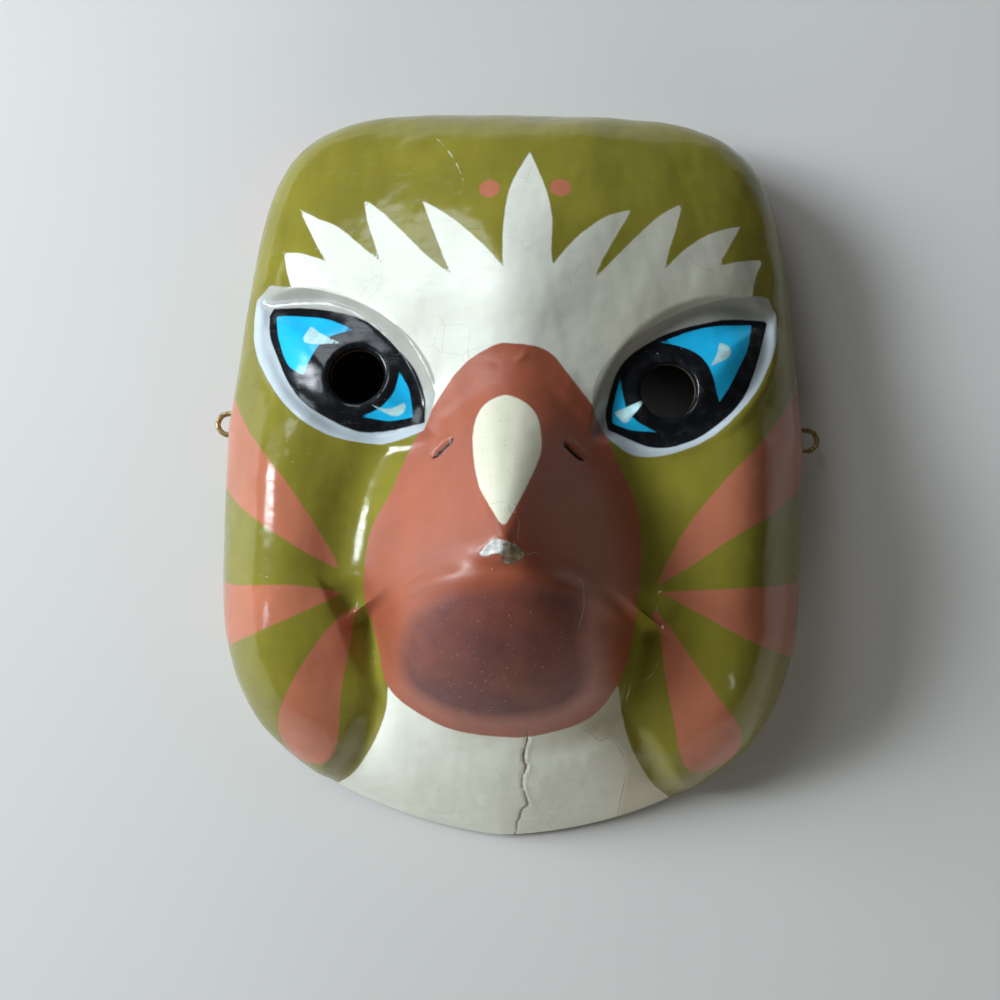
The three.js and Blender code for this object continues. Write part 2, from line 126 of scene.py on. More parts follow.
# Eyes.
EYES = (
    {"outer": (-0.077, 0.0488), "inner": (-0.025, 0.0115), "pupil": (-0.0466, 0.0268)},
    {"outer": (0.0775, 0.049), "inner": (0.028, 0.012), "pupil": (0.0464, 0.025)},
)
LID_RISE = 0.0144
LID_DROP = 0.0162
LID_BAND = 0.0052
LID_SINK = {"below": 0.0015, "above": 0.0031, "edge": 0.0003, "turn": 0.005}
EYEBALL = {"rise": 0.0022, "reach": 0.013}
LOWER_LID = {"rise": 0.0009, "off": 0.0026, "width": 0.002, "ends": (0.003, -0.001)}
BROW = {"rise": 0.0006, "off": 0.0105, "width": 0.008, "ends": (0.0015, -0.003)}
EYE_FADE = 0.93
PUPIL_RADIUS = 0.0083

# The fine mesh of the shell.
COLUMNS, ROWS = 258, 306
COARSE = 3  # the back has one cell for this many of the face, both ways
CROWDING = 0.3
PUPIL_BLOCK = 0.0074  # half the width of the cells that give way to an eye hole
PUPIL_SQUEEZE = 0.0015
PUPIL_SPREAD = 2.6
PUPIL_FREE = 1.8
BACK_SLOPE = 0.0015
BACK_PASSES = 4
BACK_SMOOTHING = 0.5
CREASE_SEARCH = 0.005
BACK_FACE = 0.9
CHIN_BACK_FACE = 0.96
CHIN_BACK_Y = -0.080
BACK_LOW = 0.003
RIM_RINGS = (  # how far in from the outside, and how high
    (0, 0.0005), (0.00015, 0.00015), (0.0005, 0),
    (0.003, 0), (0.00335, 0.00015), (0.0035, 0.0005),
)

# Fine forms. The heights that a user would change are properties of the add-on.
FACE_SLOPE = 0.0005
SHARP_ANGLE = 50  # degrees
LUMPS = {"seed": 5, "shortest": 0.012, "longest": 0.035}
RIPPLES = {"seed": 6, "shortest": 0.004, "longest": 0.009}
RELIEF_FADE = 0.96
CHIP_EDGE = 0.0003
NOSTRIL = {"slit": 0.0007, "flap": 0.0003, "flap_off": 0.0014, "flap_width": 0.0009, "fade": 0.2}
WRINKLE = {"rise": 0.0003, "width": 0.0007, "fade": 0.3}
CRACK = {"width": 0.00028, "fade": 0.06, "rise": 0.0002, "off": 0.0009, "sliver": 0.0005,
         "lifted": 0.4, "lift_fade": 0.3}
HAIRLINE = {"depth": 0.00012, "width": 0.00022, "fade": 0.1}
TIP_WEAR = {"drop": 0.0005, "width": 0.009}
CHEEK_LEAN = {"rise": 0.0012, "ends": (0.030, 0.089), "hollow": 0.045, "crest": 0.073,
              "above": (0.024, 0.008), "below": (-0.098, -0.078)}
BROW_LEAN = {"rise": 0.0012, "across": (0.018, 0.055), "from": (0.038, 0.052), "fade": (1, 0.85)}
LID_REACH = 0.008
LID_TURN = (-0.004, 0.004)
OUTER_RINGS = 3  # rings of the rim that carry paint

# Paint. Scales are the number of waves or cells in a metre.
BROAD, MIDDLING, FINE, DUST = 14, 55, 330, 1100
PAINT_EDGE = {"scale": 120, "coarse": 0.0004, "fine": 0.0003, "line": 0.0004, "soft": 0.00022}
CRAZING = 150
PAPER_SHEETS = 38
DARK_SPECKS = {"scale": 300, "size": 0.1, "share": 0.05}
PALE_SPECKS = {"scale": 420, "size": 0.1, "share": 0.04}
# the right of the brow, yellowed and darker: partly yellowing, partly painted shade
YELLOWED_AND_SHADED = {"across": (0.012, 0.034), "height": (0.036, 0.040)}
JAW_EDGE = (-0.0015, 0.004)
CHIP_SOFT = 0.00015
# the bottom 1 to 1.6 mm of the rim, where the mask meets the floor: partly dark edge paint, partly
# painted contact shadow
DARK_RIM_AND_SHADOW = (0.0016, 0.001)
DRAWN_STROKES = {  # where the paint ends beside a line, where it is full, and the share that fades
    "nostrils": (0.0005, 0.0003, 0.06),
    "hairlines": (0.0002, 0.00005, 0.08),
    "crack": (0.0003, 0.0001, 0.03),
    "scratch": (0.0003, 0.0001, 0.05),
}
BESIDE_CRACK = (0.0008, 0.0003, 0.03)
WHITE_ROUGHNESS = 0.3
LID_ROUGHNESS = 0.2
BARE_ROUGHNESS = 0.8
SHEEN_ROUGHNESS = 0.42

# Wire eyes.
WIRE_HEIGHT = 0.008
WIRE_Y = 0.0155
LOOP_TAIL = 0.004
TAIL_BEND = 0.0018
TAIL_SET_IN = 0.004
WIRE_STEP = 0.0005
BEND_POINTS, LEG_POINTS, LOOP_POINTS = 6, 8, 9
HAND_BENT = 0.0001

# Stage.
FLOOR_REACH = 3.0
FLOOR_GAP = 0.0002
LIGHTS_AIM = (0, 0, 0.04)
LIGHTS = {  # where each stands, its width and height, its colour, and if the varnish mirrors it
    "window": ((-1.28, 0.10, 0.70), (0.30, 0.42), (0.84, 0.93, 1), True),
    "daylight": ((-1.19, 0.40, 0.80), (0.6, 0.45), (0.78, 0.88, 1), False),
    "upper_window": ((-0.66, 0.79, 1.05), (0.6, 0.5), (0.84, 0.93, 1), True),
    "side_pane": ((-1.26, -0.46, 0.56), (0.14, 0.22), (0.65, 0.82, 1), True),
    "second_light": ((0.78, -1.0, 0.66), (0.09, 0.24), (1, 1, 1), True),
    "room_below": ((0.05, -1.37, 0.50), (1.2, 0.5), (1, 0.99, 0.92), False),
    "room_above": ((0.0, 1.37, 0.50), (1.2, 0.5), (1, 0.99, 0.95), False),
}
SKY_COLOUR = (0.85, 0.88, 0.92, 1)

# The camera of the picture, straight above with a slight turn.
PICTURE = 1000  # pixels each way
CAMERA_PLACE = (0.00945, -0.02048, 0.345)
CAMERA_TURN = (2.2906, 2.2053, 1.9192)  # degrees
LENS = 36.0
SENSOR = 36.0

# Outlines of the painted areas, in the picture's pixels. Each stroke is a smooth curve that
# starts at a corner and ends where the next stroke starts. A stroke on its own is a smooth loop.
WHITE_BROW = [
    [(288, 285), (284, 271)],
    [(281, 251), (302, 252.5)],
    [(325.4, 260.2), (313, 241)],
    [(297.5, 208), (315, 216.5), (338, 226.5)],
    [(381, 262), (368, 226)],
    [(363, 197.6), (381, 211), (401, 230), (429, 258)],
    [(453.5, 277), (442, 252), (431, 224)],
    [(422.6, 201), (444, 214), (468, 231.5), (488, 250.5)],
    [(504, 269), (503, 252), (504.5, 221), (511, 188)],
    [(530, 154), (546, 193), (551.5, 221), (550.5, 250)],
    [(552, 265.5), (565, 250), (582, 234), (606, 218)],
    [(631.6, 210), (618, 233), (604, 257)],
    [(593.5, 279.6), (614, 259), (643, 230), (663, 213)],
    [(683.7, 201.4), (678, 224.5), (670, 249)],
    [(665, 269), (684, 250), (704, 236), (724.5, 228)],
    [(743, 225), (733, 243)],
    [(720.4, 264), (745, 260)],
    [(766, 259), (759, 275.5)],
    [(755, 296), (690, 365)],
    [(608, 435), (513, 470)],
    [(424, 425), (350, 360)],
]
WHITE_NECK = [
    [(387.6, 686), (384, 713.5), (371, 746), (355, 771)],
    [(339, 782), (300, 815)],
    [(320, 880), (690, 880)],
    [(684, 806), (654, 785), (634, 752), (623, 716)],
    [(619.7, 687), (500, 660)],
]
BEAK = [
    [
        (513.3, 343), (491.8, 346), (461, 367.5), (435, 404), (409, 451.5), (390, 493.5),
        (368, 532.5), (360.6, 588), (368, 619), (378, 653.5), (387, 686), (416, 712),
        (461, 731.5), (520, 737.4), (570, 727), (602, 708), (628, 666.5), (637, 623),
        (643.6, 554), (636, 500), (614.5, 456.5), (602, 421), (571.5, 378), (547, 350.5),
    ]
]
WHITE_DROP = [
    [
        (503, 524.5), (488.5, 503.5), (478, 482), (472.7, 441), (481, 408.5), (507, 395),
        (534.5, 411.5), (541.6, 445), (534.5, 470), (514, 510),
    ]
]
STRIPES = {  # an upper and a lower edge, from the tip out to the side of the mask
    "left upper": (
        [(338, 569), (328, 546), (290, 486), (254, 436)],
        [(338, 569), (310, 555), (277, 533), (241, 506)],
    ),
    "left middle": (
        [(342.5, 594), (318, 588), (287, 584.5), (246, 585)],
        [(342.5, 594), (309, 609), (284, 620), (258, 632)],
    ),
    "right upper": (
        [(658, 587.5), (680, 538), (712, 495), (766, 435)],
        [(658, 587.5), (706, 556), (727, 541), (774, 511)],
    ),
    "right middle": (
        [(660, 593.6), (696.5, 590.6), (742.5, 587.6), (780, 585.5)],
        [(660, 593.6), (693.5, 610.5), (742.5, 637), (774, 651)],
    ),
}
LOWER_STRIPES = [
    [[
        (356, 607.5), (324, 633.5), (293.5, 679), (280, 721), (293.5, 754.5), (321, 764),
        (336, 747), (341, 692), (353, 637),
    ]],
    [[
        (655, 612), (663, 667), (674, 722), (683, 762), (701, 772), (732, 754),
        (738, 727), (709, 684), (678, 640),
    ]],
]
CORNER_STRIPES = ((119, 140), (62, 41))  # at the crown's corners, in degrees round the rim
CORNER_STRIPE_FROM = 0.845  # share of the way to the rim
CORNER_STRIPE_POWER = 1.5
PAST_RIM = 1.3
BROW_DOTS = ((490, 191), (560, 190))
DOT_RADIUS = 0.0031
LIDS = [
    [
        [(255, 300), (253, 324), (259, 362), (284, 403), (315, 428.5), (347, 439.5), (387, 442.5)],
        [(424, 431), (435.5, 394), (427.5, 360.5), (400.5, 328), (360.5, 304), (303, 288.5)],
        [(267, 284.5)],
    ],
    [
        [(778.5, 315), (776, 345), (755.8, 392), (717.6, 433), (669, 455), (634.5, 455.5)],
        [(606, 436), (592, 404), (601.5, 369), (634.5, 337), (692, 310), (753, 296)],
        [(771, 298)],
    ],
]
EYE_LINES = [
    [
        [(271.5, 308), (315, 308), (367, 322), (410, 363), (424, 394)],
        [(425, 423), (380.5, 432), (347, 427), (299, 398), (273, 346)],
        [(268.8, 315)],
    ],
    [
        [(768.6, 320.6), (724, 319), (666.5, 334), (622, 364), (606, 408)],
        [(608, 430), (656, 446), (704.8, 433.5), (743, 398.5), (763.5, 341)],
    ],
]
BLUES = [
    [
        [(353, 329.3), (327, 319), (296, 315)],
        [(275.5, 316), (279, 340), (288, 365)],
        [(304, 375), (309, 360), (325, 339.5)],
    ],
    [
        [(399.4, 371.7), (394, 391), (381, 407)],
        [(360.5, 417), (387, 421)],
        [(413, 417.3), (409, 390)],
    ],
    [
        [(661.4, 342), (704.8, 327)],
        [(753.5, 323.5), (748, 347.5), (733, 380.5)],
        [(719.5, 402), (710, 369), (692, 350.5)],
    ],
    [
        [(620, 378), (613.5, 405)],
        [(612.3, 423.3), (632, 430.3)],
        [(657.6, 432.2), (638.5, 422.7), (625.7, 406)],
    ],
]
GLINTS = [
    [
        [(340.4, 343), (320.4, 333)],
        [(311, 325), (303, 338)],
        [(307, 344), (325, 344)],
    ],
    [
        [(370.6, 405), (388, 409)],
        [(406.7, 401), (404, 411.5), (393, 416)],
    ],
    [
        [(709.3, 367), (717, 354)],
        [(718.8, 342), (729.5, 347), (729, 357)],
    ],
    [
        [(646, 398.5), (629, 406)],
        [(614.2, 412.5), (624, 423)],
        [(629, 421)],
    ],
]
CHIP = [
    [(477, 555), (490.4, 539.5), (502, 538.5), (518, 544.5)],
    [(527.3, 554.4), (519, 562), (510, 565)],
    [(503, 563.5), (505, 558), (497, 556)],
    [(492, 554.4), (486, 557.5)],
]
JAW_FACE = [
    [
        (445, 588), (500, 583), (545, 583), (583, 590), (586, 640), (590, 680), (560, 712),
        (500, 722), (449, 714), (412, 692), (396, 655), (408, 618),
    ]
]
CHIN_CRACK = [(526, 726), (527.5, 738), (524.6, 749), (523.5, 760), (525.8, 768), (522.4, 776),
              (521.6, 785), (523.8, 791), (526, 799), (527.2, 805), (521.5, 810), (519.6, 817),
              (517, 822), (516.4, 829), (514, 836)]
SCRATCH = [(437, 141), (446, 150), (454, 161.5), (459.7, 171.5), (464, 184)]
NOSTRILS = [  # from below, so that the raised flap lies to the left of the line
    [(431.7, 458.6), (442, 448.6), (453.4, 437.4)],
    [(563, 441.6), (573.6, 451.5), (584.6, 461.5)],
]
WRINKLES = [  # folds of the paper at the top of the beak, and between the drop and the chip
    [(473.5, 356.6), (481, 362.8), (498, 367.3)],
    [(512.5, 361), (524, 356.6), (522.5, 347.5)],
    [(499, 527), (504, 533), (508.5, 541)],
]
HAIRLINES = [  # cracks round the drop's tip and the chip, and one on the right of the jaw
    [(490, 504.5), (501, 501.5), (511, 506), (516, 512), (519.5, 523), (518, 541)],
    [(508, 507.5), (510.5, 511.5), (515, 513)],
    [(527.3, 554.4), (532.5, 553), (541, 552)],
    [(574, 576), (582.5, 582), (584, 596), (583, 611), (577, 630)],
]
STAIN = [  # where water has yellowed the neck
    [
        (578, 724), (586, 731), (592, 733), (596, 739), (603, 740.5), (604, 737.5), (611, 740),
        (618, 747), (624, 757), (626.5, 770), (622, 792),
    ],
    [(612, 840), (720, 830), (690, 740)],
    [(625, 680), (600, 700)],
]
DRAWN_LINES = {
    "crack": [CHIN_CRACK], "scratch": [SCRATCH], "nostrils": NOSTRILS, "wrinkles": WRINKLES,
    "hairlines": HAIRLINES,
}
LINE_REACH = 0.004


def ramp(start, end, x):
    """A smooth step from 0 at start to 1 at end, either way round."""
    t = np.clip((x - start) / (end - start), 0, 1)
    return t * t * (3 - 2 * t)


def swell(distance, width):
    """1 at a line, falling softly to 0 a few widths away."""
    return np.exp(-((distance / width) ** 2))


def lerp(a, b, share):
    return a + (b - a) * share


def smooth_max(a, b, blend):
    """The higher of two surfaces, with a rounded valley where they meet."""
    t = np.clip(0.5 + 0.5 * (a - b) / blend, 0, 1)
    return lerp(b, a, t) + blend * t * (1 - t)


def curve_through(points, closed=False, steps=8):
    """Points along a smooth curve through the given ones."""
    p = np.array(points, float)
    before, after = np.roll(p, 1, 0), np.roll(p, -1, 0)
    if not closed:
        before[0] = p[0]
        after[-1] = p[-1]
    following = np.roll(after, -1, 0)
    if not closed:
        following[-2:] = p[-1]
    t = np.linspace(0, 1, steps, endpoint=False)[:, None, None]
    curve = 0.5 * (
        2 * p + (after - before) * t
        + (2 * before - 5 * p + 4 * after - following) * t**2
        + (3 * p - before - 3 * after + following) * t**3
    )
    curve = curve.transpose(1, 0, 2)
    if closed:
        return curve.reshape(-1, 2)
    return np.vstack([curve[:-1].reshape(-1, 2), p[-1:]])


def outline(strokes):
    """A closed line round an area: one smooth loop, or strokes that meet in corners."""
    if len(strokes) == 1:
        return curve_through(strokes[0], closed=True)
    parts = []
    for stroke, following in zip(strokes, strokes[1:] + strokes[:1]):
        parts.append(curve_through(stroke + following[:1])[:-1])
    return np.vstack(parts)


def rim_table(count=1441, halvings=44):
    """How far out the rim lies by direction, found by halving."""
    turns = np.linspace(-math.pi, math.pi, count)
    across, up = np.abs(np.cos(turns)), np.sin(turns)
    low, high = np.zeros(count), np.full(count, 2 * HALF_HEIGHT)
    for _ in range(halvings):
        reach = (low + high) / 2
        x, y = reach * across, reach * up
        width = HALF_WIDTH - TAPER * np.maximum(y - TAPER_FROM, 0)
        crown = (x / width) ** CROWN_POWERS[0] + (np.abs(y) / HALF_HEIGHT) ** CROWN_POWERS[1]
        chin = (x / width) ** CHIN_POWERS[0] + (np.abs(y) / HALF_HEIGHT) ** CHIN_POWERS[1]
        inside = np.where(y > 0, crown, chin) < 1
        low, high = np.where(inside, reach, low), np.where(inside, high, reach)
    return turns, (low + high) / 2


RIM_TURNS, RIM_REACH = rim_table()


def rim_reach(angle):
    """How far out the rim lies in a direction."""
    return np.interp(angle, RIM_TURNS, RIM_REACH)


def beak_table():
    """How far the beak's painted edge lies from its tip by direction."""
    left = [(-x, y) for x, y in BEAK_HALF_OUTLINE[-2:0:-1]]
    edge = curve_through(BEAK_HALF_OUTLINE + left, closed=True, steps=24) - np.array(BEAK_TIP)
    turns = np.arctan2(edge[:, 1], edge[:, 0])
    order = np.argsort(turns)
    return turns[order], np.hypot(edge[:, 0], edge[:, 1])[order]


BEAK_TURNS, BEAK_REACH = beak_table()


def beak_share(x, y):
    """0 at the beak's tip and 1 on its painted edge."""
    dx, dy = x - BEAK_TIP[0], y - BEAK_TIP[1]
    reach = np.interp(np.arctan2(dy, dx), BEAK_TURNS, BEAK_REACH, period=2 * math.pi)
    return np.hypot(dx, dy) / reach


def shoulder_table(count=2001):
    """Share of the shoulder's length, from the middle of the face to the rim, by its reach."""
    a = np.linspace(0, math.pi / 2, count)
    out = np.sin(a) ** (2 / SHOULDER_POWER)
    fall = np.maximum(np.cos(a), 0) ** (2 / SHOULDER_POWER)
    drop = np.diff(fall) * (FACE_HEIGHT - RIM_EDGE)
    length = np.concatenate([[0], np.cumsum(np.hypot(np.diff(out) * HALF_WIDTH, drop))])
    return out, length / length[-1], length[-1] / HALF_WIDTH


SHOULDER_OUT, SHOULDER_SHARE, SHOULDER_STRETCH = shoulder_table()


def lid_arc(eye, rise, up):
    """The circle through an eye's two corners with a given rise."""
    outer, inner = np.array(eye["outer"]), np.array(eye["inner"])
    chord = np.hypot(*(inner - outer))
    along = (inner - outer) / chord
    across = np.array([-along[1], along[0]])
    across *= np.sign(across[1])
    radius = (chord**2 / 4 + rise**2) / (2 * rise)
    middle = (outer + inner) / 2
    return middle + up * across * (rise - radius), radius, across, middle


def past_lids(eye, x, y):
    """Distance outside an eye's upper and lower arcs, and the side of the line between corners."""
    upper, upper_radius, across, middle = lid_arc(eye, LID_RISE, 1)
    lower, lower_radius, _, _ = lid_arc(eye, LID_DROP, -1)
    above = np.hypot(x - upper[0], y - upper[1]) - upper_radius
    below = np.hypot(x - lower[0], y - lower[1]) - lower_radius
    return above, below, (x - middle[0]) * across[0] + (y - middle[1]) * across[1]


def fold(form, distance):
    """Height of a rounded fold that runs along a line at a distance from it."""
    return form["rise"] * swell(distance - form["off"], form["width"])


def eye_relief(eye, x, y):
    """A sunk leaf shape with a swelling eyeball, a raised lower lid and a fold above."""
    above, below, side = past_lids(eye, x, y)
    past = np.maximum(above, below)
    upper_half = ramp(-LID_SINK["turn"], LID_SINK["turn"], side)
    depth = lerp(LID_SINK["below"], LID_SINK["above"], upper_half)
    sunk = depth * ramp(LID_BAND, LID_SINK["edge"], past)
    ball = EYEBALL["rise"] * ramp(0, -EYEBALL["reach"], past)
    lip = fold(LOWER_LID, below) * (1 - upper_half) * ramp(*LOWER_LID["ends"], above)
    return ball - sunk + lip + fold(BROW, above) * ramp(*BROW["ends"], below)


def pillow_height(x, y, out, share):
    """The face without its beak and eyes."""
    turn = np.degrees(np.arctan2(y, x))
    power = lerp(SHOULDER_POWER, JOWL_POWER, ramp(*CHIN_TURN, turn))
    rise = np.maximum(1 - out**power, 0) ** (1 / power)
    nose = ramp(*NOSE_RIDGE["above"], y) * ramp(*NOSE_RIDGE["below"], y)
    cheek = swell(x - CHEEK["x"], CHEEK["width"]) * swell(y - CHEEK["y"], CHEEK["length"])
    moat = ramp(*BEAK_MOAT["below"], y) * ramp(*BEAK_MOAT["above"], y)
    height = lerp(RIM_EDGE, FACE_HEIGHT, rise)
    height += NOSE_RIDGE["rise"] * swell(x, NOSE_RIDGE["width"]) * nose
    height += CHEEK["rise"] * cheek * (1 - ramp(CHEEK["fade"], 1, out))
    bone = swell(x - CHEEKBONE["x"], CHEEKBONE["width"])
    height += CHEEKBONE["rise"] * bone * swell(y - CHEEKBONE["y"], CHEEKBONE["length"])
    dome = DOME["rise"] * (swell(x, DOME["width"]) - DOME["level"])
    height += dome * ramp(*DOME["from"], y) * ramp(*DOME["fade"], out)
    ring = swell(share - BEAK_MOAT["share"], BEAK_MOAT["width"])
    return height - BEAK_MOAT["depth"] * moat * ring


def neck_height(out):
    """The neck, which falls to the rim."""
    fall = np.clip((out - NECK_FROM) / (1 - NECK_FROM), 0, 1)
    return lerp(NECK_HEIGHT, RIM_EDGE, fall**NECK_POWER)


def past_cheek_edge(x, y):
    """Distance outside the fold where the cheek meets the neck and the jaw."""
    bend = np.where(y > CHEEK_GAP_Y, *CHEEK_BENDS)
    lift = np.abs(y - CHEEK_GAP_Y)
    slope = CHEEK_BEND_POWER * bend * lift ** (CHEEK_BEND_POWER - 1)
    return (x - CHEEK_GAP - bend * lift**CHEEK_BEND_POWER) / np.hypot(1, slope)


def cheek_fold(past, y, out):
    """Depth of the fold, sharp at its bottom."""
    off = np.hypot(past, CHEEK_FOLD["round"]) - CHEEK_FOLD["round"]
    here = ramp(*CHEEK_FOLD["above"], y) * ramp(*CHEEK_FOLD["fade"], out)
    return CHEEK_FOLD["depth"] * np.exp(-off / CHEEK_FOLD["reach"]) * here


def past_mouth(x, y):
    """Distance above the line of the mouth, which drops to both sides."""
    return y - BEAK_TIP[1] + MOUTH_DROP * (np.abs(x) / MOUTH_REACH) ** MOUTH_POWER


def beak_height(x, y, share):
    """The upper beak over the jaw, with the lip and the line of the mouth."""
    upper = lerp(CREASE_HEIGHT, TIP_HEIGHT, 1 - (share / FLANK) ** RIDGE_POWER)
    jaw = lerp(JAW_HEIGHT, JAW_FOOT, share**JAW_POWER)
    above = past_mouth(x, y)
    lip = LIP["rise"] * swell(above + LIP["below"], LIP["width"])
    line = MOUTH_LINE["depth"] * swell(above + MOUTH_LINE["below"], MOUTH_LINE["width"])
    return lerp(jaw, upper, ramp(*OVERHANG, above)) + (lip - line) * ramp(*LIP_ENDS, x)


def face_height(x, y, out):
    """Height of the face, with out the share of the way from the middle to the rim."""
    ax = np.abs(x)
    share = beak_share(x, y)
    past = past_cheek_edge(ax, y)
    on_cheek = np.maximum(ramp(*CHEEK_STEP, past), ramp(*NECK_END, y))
    ground = lerp(neck_height(out), pillow_height(ax, y, out, share), on_cheek)
    ground -= cheek_fold(past, y, out)
    height = smooth_max(ground, beak_height(ax, y, share), BEAK_BLEND)
    to_corner = np.hypot(ax - MOUTH_CORNER["x"], y - MOUTH_CORNER["y"])
    height -= MOUTH_CORNER["depth"] * swell(to_corner, MOUTH_CORNER["width"])
    for eye in EYES:
        height += eye_relief(eye, x, y) * (1 - ramp(EYE_FADE, 1, out))
    return height


def out_of(x, y):
    """0 in the middle of the mask and 1 on its rim."""
    return np.minimum(np.hypot(x, y) / rim_reach(np.arctan2(y, x)), 1)


def unrolled(x, y):
    """Places on the face spread flat: the side walls fold out round the middle."""
    angle = np.arctan2(y, x)
    share = np.interp(out_of(x, y), SHOULDER_OUT, SHOULDER_SHARE)
    reach = share * rim_reach(angle) * SHOULDER_STRETCH
    return np.stack([reach * np.cos(angle), reach * np.sin(angle)], -1)


def camera_turn():
    """How the picture's camera is turned."""
    return Euler([math.radians(v) for v in CAMERA_TURN]).to_matrix()


def laid(pixels, steps=500, halvings=12):
    """Where the camera's rays through the pixels meet the face, spread flat."""
    pixels = np.asarray(pixels, float)
    turn = np.array(camera_turn())
    right, up = pixels[:, 0] - PICTURE / 2, PICTURE / 2 - pixels[:, 1]
    rays = np.stack([right, up, np.full(len(pixels), -PICTURE)], 1) @ turn.T
    place = np.array(CAMERA_PLACE)

    def at(height):
        return place + rays * ((height - place[2]) / rays[:, 2])[:, None]

    def above(height):
        x, y, _ = at(height).T
        return (face_height(x, y, out_of(x, y)) < height) | (out_of(x, y) >= 1)

    high = np.full(len(pixels), SHELL_HIGH.z)
    low = high.copy()
    searching = np.ones(len(pixels), bool)
    step = (SHELL_HIGH.z - RIM_EDGE) / steps
    for _ in range(steps):
        low = np.where(searching, low - step, low)
        searching &= above(low)
        high = np.where(searching, low, high)
    for _ in range(halvings):
        middle_height = (low + high) / 2
        clear = above(middle_height)
        high = np.where(clear, middle_height, high)
        low = np.where(clear, low, middle_height)
    x, y, _ = at(low).T
    return unrolled(x, y)


def signed_distance(places, loop, margin=0.004):
    """Distance to a closed line, above 0 inside it. Places far outside get minus the margin."""
    result = np.full(len(places), -margin)
    near = np.all((places > loop.min(0) - margin) & (places < loop.max(0) + margin), axis=1)
    p = places[near]
    nearest = np.full(len(p), np.inf)
    inside = np.zeros(len(p), bool)
    for a, b in zip(loop, np.roll(loop, -1, 0)):
        run = b - a
        share = np.clip(((p - a) @ run) / max(run @ run, 1e-18), 0, 1)
        away = p - a - share[:, None] * run
        nearest = np.minimum(nearest, np.einsum("ij,ij->i", away, away))
        crosses = (a[1] > p[:, 1]) != (b[1] > p[:, 1])
        if a[1] != b[1]:
            inside ^= crosses & (p[:, 0] < a[0] + (p[:, 1] - a[1]) * run[0] / run[1])
    result[near] = np.maximum(np.where(inside, 1, -1) * np.sqrt(nearest), -margin)
    return result


def beside_line(places, line, margin=LINE_REACH):
    """Signed distance across an open line, and the share of the way along it."""
    across = np.full(len(places), margin)
    along = np.full(len(places), -1.0)
    near = np.all((places > line.min(0) - margin) & (places < line.max(0) + margin), axis=1)
    p = places[near]
    best = np.full(len(p), np.inf)
    side, share = np.zeros(len(p)), np.zeros(len(p))
    lengths = np.concatenate([[0], np.cumsum(np.hypot(*np.diff(line, axis=0).T))])
    for k, (a, b) in enumerate(zip(line[:-1], line[1:])):
        run = b - a
        t = ((p - a) @ run) / (run @ run)
        end = 1 if k < len(line) - 2 else np.inf
        start = 0 if k else -np.inf
        t = np.clip(t, start, end)
        away = p - a - t[:, None] * run
        reach = np.hypot(*away.T)
        closer = reach < best
        turn = run[0] * away[:, 1] - run[1] * away[:, 0]
        best = np.where(closer, reach, best)
        side = np.where(closer, np.sign(turn), side)
        place = lengths[k] + t * (lengths[k + 1] - lengths[k])
        share = np.where(closer, place / lengths[-1], share)
    across[near] = side * np.minimum(best, margin)
    along[near] = share
    return across, along


def stripe_loop(edges, last=4):
    """A stripe from its tip to past the rim, each edge carried on straight by its last points."""
    sides = []
    for edge in edges:
        side = laid(curve_through(edge))
        run = side[-1] - side[-1 - last]
        sides.append(np.vstack([side, side[-1] + run / np.hypot(*run) * HALF_WIDTH / 2]))
    return np.vstack([sides[0], sides[1][::-1]])


def corner_stripe_loop(turns, count=15):
    """The salmon stripe on the side wall at a corner of the crown."""
    angles = np.radians(np.linspace(*turns, count))
    share = (np.linspace(-1, 1, count) ** 2) ** CORNER_STRIPE_POWER
    inner = lerp(CORNER_STRIPE_FROM, 1.0, share) * rim_reach(angles) * SHOULDER_STRETCH
    inner = np.stack([inner * np.cos(angles), inner * np.sin(angles)], -1)
    return np.vstack([inner, inner[::-1] * PAST_RIM])


def waves(x, y, seed, shortest, longest, count=28):
    """A smooth uneven field between about -1 and 1, the sum of waves in all directions."""
    draw = np.random.default_rng(seed)
    field = np.zeros_like(x)
    for _ in range(count):
        length = draw.uniform(shortest, longest)
        heading, phase = draw.uniform(0, 2 * math.pi, 2)
        along = x * math.cos(heading) + y * math.sin(heading)
        field += np.sin(2 * math.pi / length * along + phase)
    return field / math.sqrt(count)


def grid_places():
    """The square grid laid on the face. Its edge follows the rim."""
    s, t = np.meshgrid(np.linspace(-1, 1, COLUMNS + 1), np.linspace(-1, 1, ROWS + 1))
    s = s - CROWDING * np.sin(math.pi * s) / math.pi
    t = t - CROWDING * np.sin(math.pi * t) / math.pi
    u, v = s * np.sqrt(1 - t**2 / 2), t * np.sqrt(1 - s**2 / 2)
    angle = np.arctan2(v, u)
    out = np.interp(np.minimum(np.hypot(u, v), 1), SHOULDER_SHARE, SHOULDER_OUT)
    reach = rim_reach(angle) * out
    return reach * np.cos(angle), reach * np.sin(angle)


def pupil_block(x, y, eye):
    """First and last column and row of the cells that give way to an eye hole."""
    px, py = eye["pupil"]
    row, column = np.unravel_index(np.argmin(np.hypot(x - px, y - py)), x.shape)
    half = PUPIL_BLOCK / abs(x[row, column + 1] - x[row, column])
    tall = PUPIL_BLOCK / abs(y[row + 1, column] - y[row, column])
    ends = [column - half, column + half, row - tall, row + tall]
    return [COARSE * round(end / COARSE) for end in ends]


